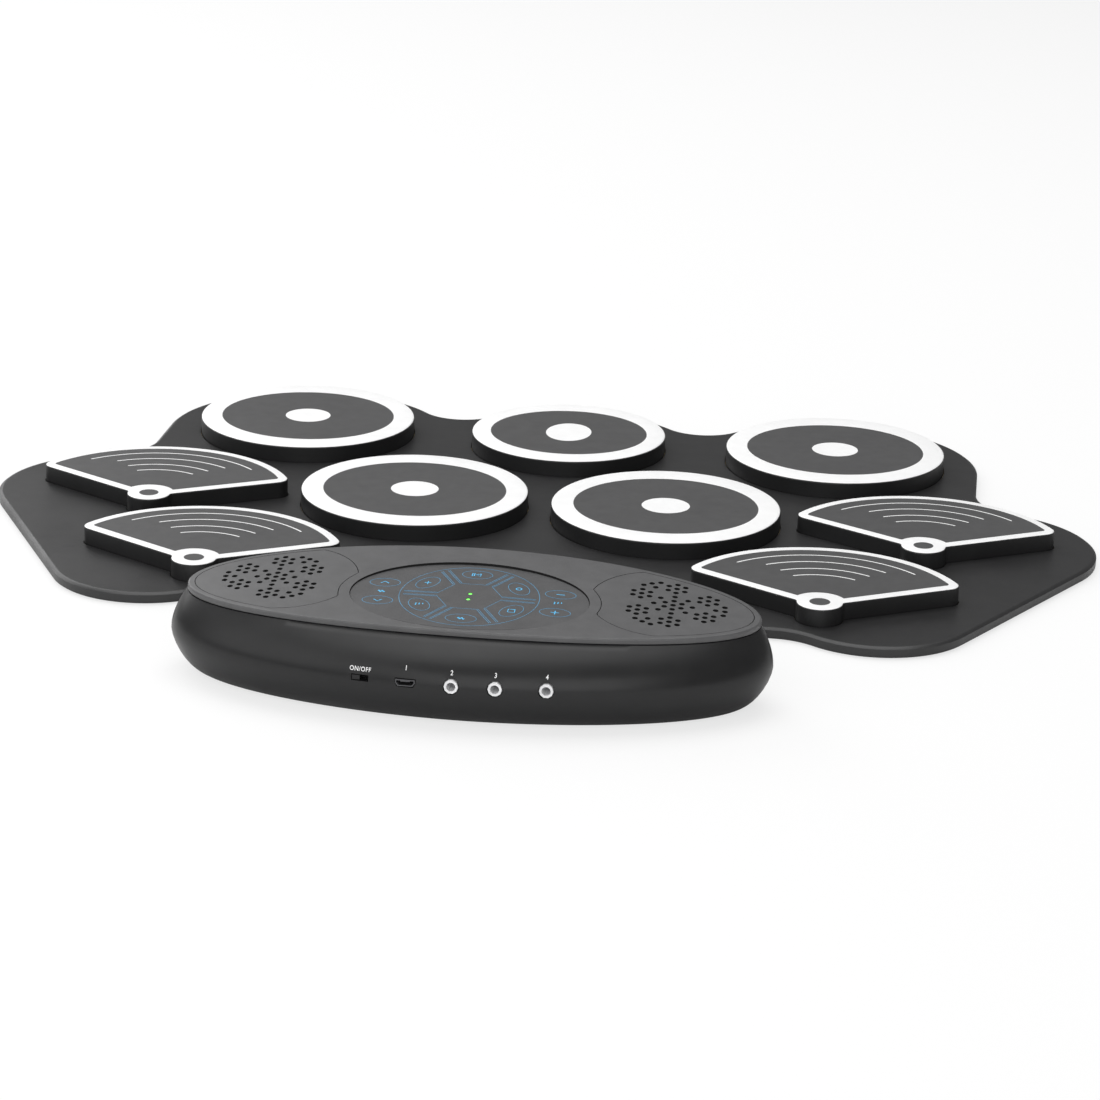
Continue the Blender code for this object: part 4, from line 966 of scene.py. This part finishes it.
def sector_lines(middle):
    """Double-lined sides and straight inner edge of one of the six sectors of the ring."""
    first, last = middle - math.radians(30), middle + math.radians(30)
    start, end = SECTOR_INSET, -SECTOR_INSET
    lines = [[
        beside(first, SECTOR_OUTER, start), beside(first, SECTOR_INNER, start),
        beside(last, SECTOR_INNER, end), beside(last, SECTOR_OUTER, end),
    ]]
    for turn, inset in ((first, start + DOUBLE_LINE), (last, end - DOUBLE_LINE)):
        lines.append([beside(turn, SECTOR_OUTER, inset), beside(turn, SECTOR_INNER, inset)])
    return lines


def make_legends(blue, bright):
    """Blue printed signs: a ring of six keys, and a pair of keys on each side of it."""
    rims = [circle(RING_RADIUS, RING_SIDES)]
    lines, signs = [], []
    for key, kind in enumerate(("bars", "wave", "square", "dot", "play", "plus")):
        middle = math.radians(30 + 60 * key)
        lines += sector_lines(middle)
        rims.append([beside(middle, KEY_RING + u, v) for v, u in ellipse(*KEY_HALF, PRINT_SIDES)])
        signs += sign_at(kind, KEY_RING * math.cos(middle), KEY_RING * math.sin(middle), KEY_SIGN)
    for side, upper, lower, word in ((-1, "plus", "minus", "bars"), (1, "up", "down", "wave")):
        x = side * SIDE_KEY_X
        for y, kind in ((SIDE_KEY_Y, upper), (-SIDE_KEY_Y, lower)):
            rims.append(ellipse(*KEY_HALF, PRINT_SIDES, (x, y)))
            signs += sign_at(kind, x, y, SIDE_SIGN)
        signs += sign_at(word, x, 0, KEY_SIGN)
    closed = [stroke(path, KEY_LINE, 0, closed=True) for path in rims]
    printed = joined(closed + [stroke(path, KEY_LINE, 0) for path in lines])
    shown = joined([stroke(path, SIGN_LINE, 0) for path in signs])
    data = joined([printed, painted(shown, 1)])
    for vert in data.verts:
        vert.co.z = crown(vert.co.x) + PRINT_LIFT
    face_up(data)
    add_piece("touch_legends", data, [blue, bright], "root", placed=TOUCH_FRAME)


def flat_words(words):
    """A bmesh of some words, centred over the origin."""
    curve = bpy.data.curves.new("label", "FONT")
    curve.body = words
    curve.size = LABEL_SIZE
    curve.offset = LABEL_BOLD
    curve.space_character = LABEL_SPACING
    curve.align_x = "CENTER"
    text = bpy.data.objects.new("label", curve)
    bpy.context.scene.collection.objects.link(text)
    evaluated = text.evaluated_get(bpy.context.evaluated_depsgraph_get())
    mesh = bpy.data.meshes.new_from_object(evaluated)
    bpy.data.objects.remove(text, do_unlink=True)
    data = bmesh.new()
    data.from_mesh(mesh)
    return data


def make_labels(white):
    """White marks over the sockets: ON and OFF at the switch, and plain numbers at the others."""
    labels = [(SWITCH_X, "ON/OFF", SWITCH_LABEL_RISE), (USB_X, "1", USB_LABEL_RISE)]
    labels += [(x, str(number), JACK_LABEL_RISE) for number, x in enumerate(JACKS, 2)]
    for middle, words, rise in labels:
        data = flat_words(words)
        for vert in data.verts:
            x, z = middle - vert.co.x, PORT_HEIGHT + rise + vert.co.y
            vert.co = (x, rear_wall(x, z) + PRINT_LIFT, z)
        add_piece(f"label_{words.replace('/', '_').lower()}", data, [white], "root")


def dress_nodes(looks):
    """Gives every CAD node that stays its own finish."""
    for name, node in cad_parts.items():
        for start, look in looks:
            if name.startswith(start):
                for holder in node.material_slots:
                    holder.material = look
                break


def mix_for_camera(tree, plain, seen, share, kind):
    """Ends a tree in a mix of two shaders, where only the camera's rays get a share of the second."""
    path = tree.nodes.new("ShaderNodeLightPath")
    weight = tree.nodes.new("ShaderNodeMath")
    weight.operation = "MULTIPLY"
    weight.inputs[1].default_value = share
    mix = tree.nodes.new("ShaderNodeMixShader")
    out = tree.nodes.new(kind)
    tree.links.new(path.outputs["Is Camera Ray"], weight.inputs[0])
    tree.links.new(weight.outputs[0], mix.inputs["Fac"])
    tree.links.new(plain.outputs[0], mix.inputs[1])
    tree.links.new(seen.outputs[0], mix.inputs[2])
    tree.links.new(mix.outputs[0], out.inputs["Surface"])


def make_floor():
    """A white floor that takes soft shadows, and glows only for the camera."""
    look = bpy.data.materials.new("studio_floor")
    look.use_nodes = True
    tree = look.node_tree
    tree.nodes.clear()
    pale = tree.nodes.new("ShaderNodeBsdfDiffuse")
    pale.inputs["Color"].default_value = (FLOOR_GREY, FLOOR_GREY, FLOOR_GREY, 1)
    glow = tree.nodes.new("ShaderNodeEmission")
    glow.inputs["Strength"].default_value = 1.0
    mix_for_camera(tree, pale, glow, FLOOR_GLOW, "ShaderNodeOutputMaterial")
    mesh = bpy.data.meshes.new("floor")
    corners = ((-1, -1), (1, -1), (1, 1), (-1, 1))
    points = [(x * FLOOR_REACH, y * FLOOR_REACH, -FLOOR_DROP) for x, y in corners]
    mesh.from_pydata(points, [], [(0, 1, 2, 3)])
    mesh.materials.append(look)
    floor = bpy.data.objects.new("floor", mesh)
    bpy.context.scene.collection.objects.link(floor)


def make_world():
    """A world that looks white, and lights the part dimly."""
    world = bpy.data.worlds.new("studio")
    world.use_nodes = True
    tree = world.node_tree
    tree.nodes.clear()
    dim = tree.nodes.new("ShaderNodeBackground")
    dim.inputs["Strength"].default_value = WORLD_LIGHT
    white = tree.nodes.new("ShaderNodeBackground")
    white.inputs["Color"].default_value = (1, 1, 1, 1)
    white.inputs["Strength"].default_value = 1.0
    mix_for_camera(tree, dim, white, 1.0, "ShaderNodeOutputWorld")
    bpy.context.scene.world = world


def make_lights():
    """Four soft square lights, turned towards the origin."""
    for name, place, size, power in LAMPS:
        light = bpy.data.lights.new(name, "AREA")
        light.size = size
        light.energy = power
        lamp = bpy.data.objects.new(name, light)
        lamp.location = place
        lamp.rotation_euler = (-Vector(place)).to_track_quat("-Z", "Y").to_euler()
        bpy.context.scene.collection.objects.link(lamp)


def make_camera():
    """The camera that took the photograph."""
    camera = bpy.data.cameras.new("camera")
    camera.sensor_width = SENSOR
    camera.lens = FOCAL_PIXELS / PHOTO_WIDTH * SENSOR
    camera.shift_x = CAMERA_SHIFT
    camera.clip_start = CAMERA_CLIP
    viewer = bpy.data.objects.new("camera", camera)
    yaw, pitch, roll = (math.radians(a) for a in (CAMERA_YAW, CAMERA_PITCH, CAMERA_ROLL))
    ahead = Vector((math.sin(yaw) * math.cos(pitch), math.cos(yaw) * math.cos(pitch), -math.sin(pitch)))
    level_right = Vector((math.cos(yaw), -math.sin(yaw), 0))
    level_up = level_right.cross(ahead)
    right = level_right * math.cos(roll) + level_up * math.sin(roll)
    up = level_up * math.cos(roll) - level_right * math.sin(roll)
    turn = Matrix((right, up, -ahead)).transposed().to_4x4()
    viewer.matrix_world = Matrix.Translation(CAMERA_PLACE) @ turn
    bpy.context.scene.collection.objects.link(viewer)
    bpy.context.scene.camera = viewer
    bpy.context.scene.view_settings.view_transform = "Standard"


def main():
    """Makes the looks, the pieces and the studio."""
    silicone = surface("mat_silicone", (0.018, 0.018, 0.0185), 0.4, grain=700, bump=0.00005)
    pad_wall = surface("pad_wall", (0.010, 0.010, 0.0105), 0.5, grain=700, bump=0.00004)
    pad_top = surface("pad_print_grey", (0.066, 0.066, 0.067), 0.5, grain=1100, bump=0.00003)
    pad_white = surface("pad_print_white", (0.93, 0.93, 0.93), 0.5, grain=1100, bump=0.00002, mottle=0.02)
    foam = surface("foam", (0.05, 0.05, 0.05), 0.9, grain=1500, bump=0.0002)
    gloss = surface("body_gloss", (0.012, 0.012, 0.0125), 0.36, bump=0.00001, specular=0.35)
    satin = surface("cover_satin", (0.094, 0.094, 0.096), 0.42, grain=1500, bump=0.00002)
    film = surface("touch_film", (0.086, 0.086, 0.088), 0.36, grain=1500, bump=0.00001)
    blue = surface("legend_blue", (0.09, 0.30, 0.50), 0.5, grain=1500, bump=0.00001)
    bright = surface("sign_blue", (0.10, 0.52, 0.88), 0.5, grain=1500, bump=0.00001)
    # Near-black painted shade for the walls of cut holes and recesses, which are really the grey plastic
    # of their part
    black = surface("hole_black", (0.003, 0.003, 0.003), 0.8, grain=1500, bump=0.00001)
    label = surface("label_white", (0.85, 0.85, 0.85), 0.5, grain=1500, bump=0.00001, mottle=0.02)
    cloth = surface("speaker_cloth", (0.004, 0.004, 0.004), 0.95, grain=2600, bump=0.0002)
    steel = surface("plated_steel", (0.66, 0.66, 0.68), 0.24, bump=0.000008, metallic=1.0)
    nickel = surface("socket_nickel", (0.80, 0.80, 0.81), 0.4, bump=0.000008, metallic=0.2)
    shell = surface("usb_shell", (0.10, 0.10, 0.105), 0.35, bump=0.000008, metallic=0.8)
    paper = surface("cone_paper", (0.02, 0.02, 0.02), 0.8, grain=1200, bump=0.0001)
    ferrite = surface("magnet_ferrite", (0.05, 0.05, 0.055), 0.5, grain=1200, bump=0.00005, metallic=0.3)
    board = surface("board_laminate", (0.02, 0.11, 0.05), 0.45, bump=0.00002)
    plastic = surface("connector_plastic", (0.02, 0.02, 0.02), 0.5)
    cell = surface("cell_wrap", (0.20, 0.24, 0.30), 0.4)
    ribbon = surface("ribbon", (0.60, 0.60, 0.58), 0.5)
    polyester = surface("film_polyester", (0.55, 0.42, 0.20), 0.4)
    rubber = surface("foot_rubber", (0.015, 0.015, 0.015), 0.8, grain=1000, bump=0.00008)
    backing = surface("backing_silicone", (0.020, 0.020, 0.021), 0.6, grain=600, bump=0.00008)
    green = glowing("lamp_green", (0.16, 0.72, 0.10), 0.3, 1.2)

    make_mat(silicone)
    make_pads(pad_wall, pad_top, pad_white)
    make_foams(foam)
    make_body(gloss)
    make_cover(satin, black)
    make_grilles(satin, black)
    make_touch(film)
    make_legends(blue, bright)
    make_lamps(green)
    make_labels(label)
    dress_nodes((
        ("mat_backing", backing), ("sensor_film", polyester), ("speaker_cloth", cloth),
        ("speaker_basket", steel), ("speaker_cone", paper), ("speaker_magnet", ferrite),
        ("touch_board", board), ("main_board", board), ("board_connector", plastic),
        ("tail_connector", plastic), ("ribbon_cable", ribbon), ("battery_cell", cell),
        ("switch_body", plastic), ("switch_knob", gloss), ("clamp_bar", plastic),
        ("clamp_screw", steel), ("case_screw", steel), ("foot_pedal_jack", nickel), ("foot_", rubber),
        ("headphone_jack", nickel), ("line_in_jack", nickel), ("usb_socket", shell),
    ))
    make_floor()
    make_world()
    make_lights()
    make_camera()


main()
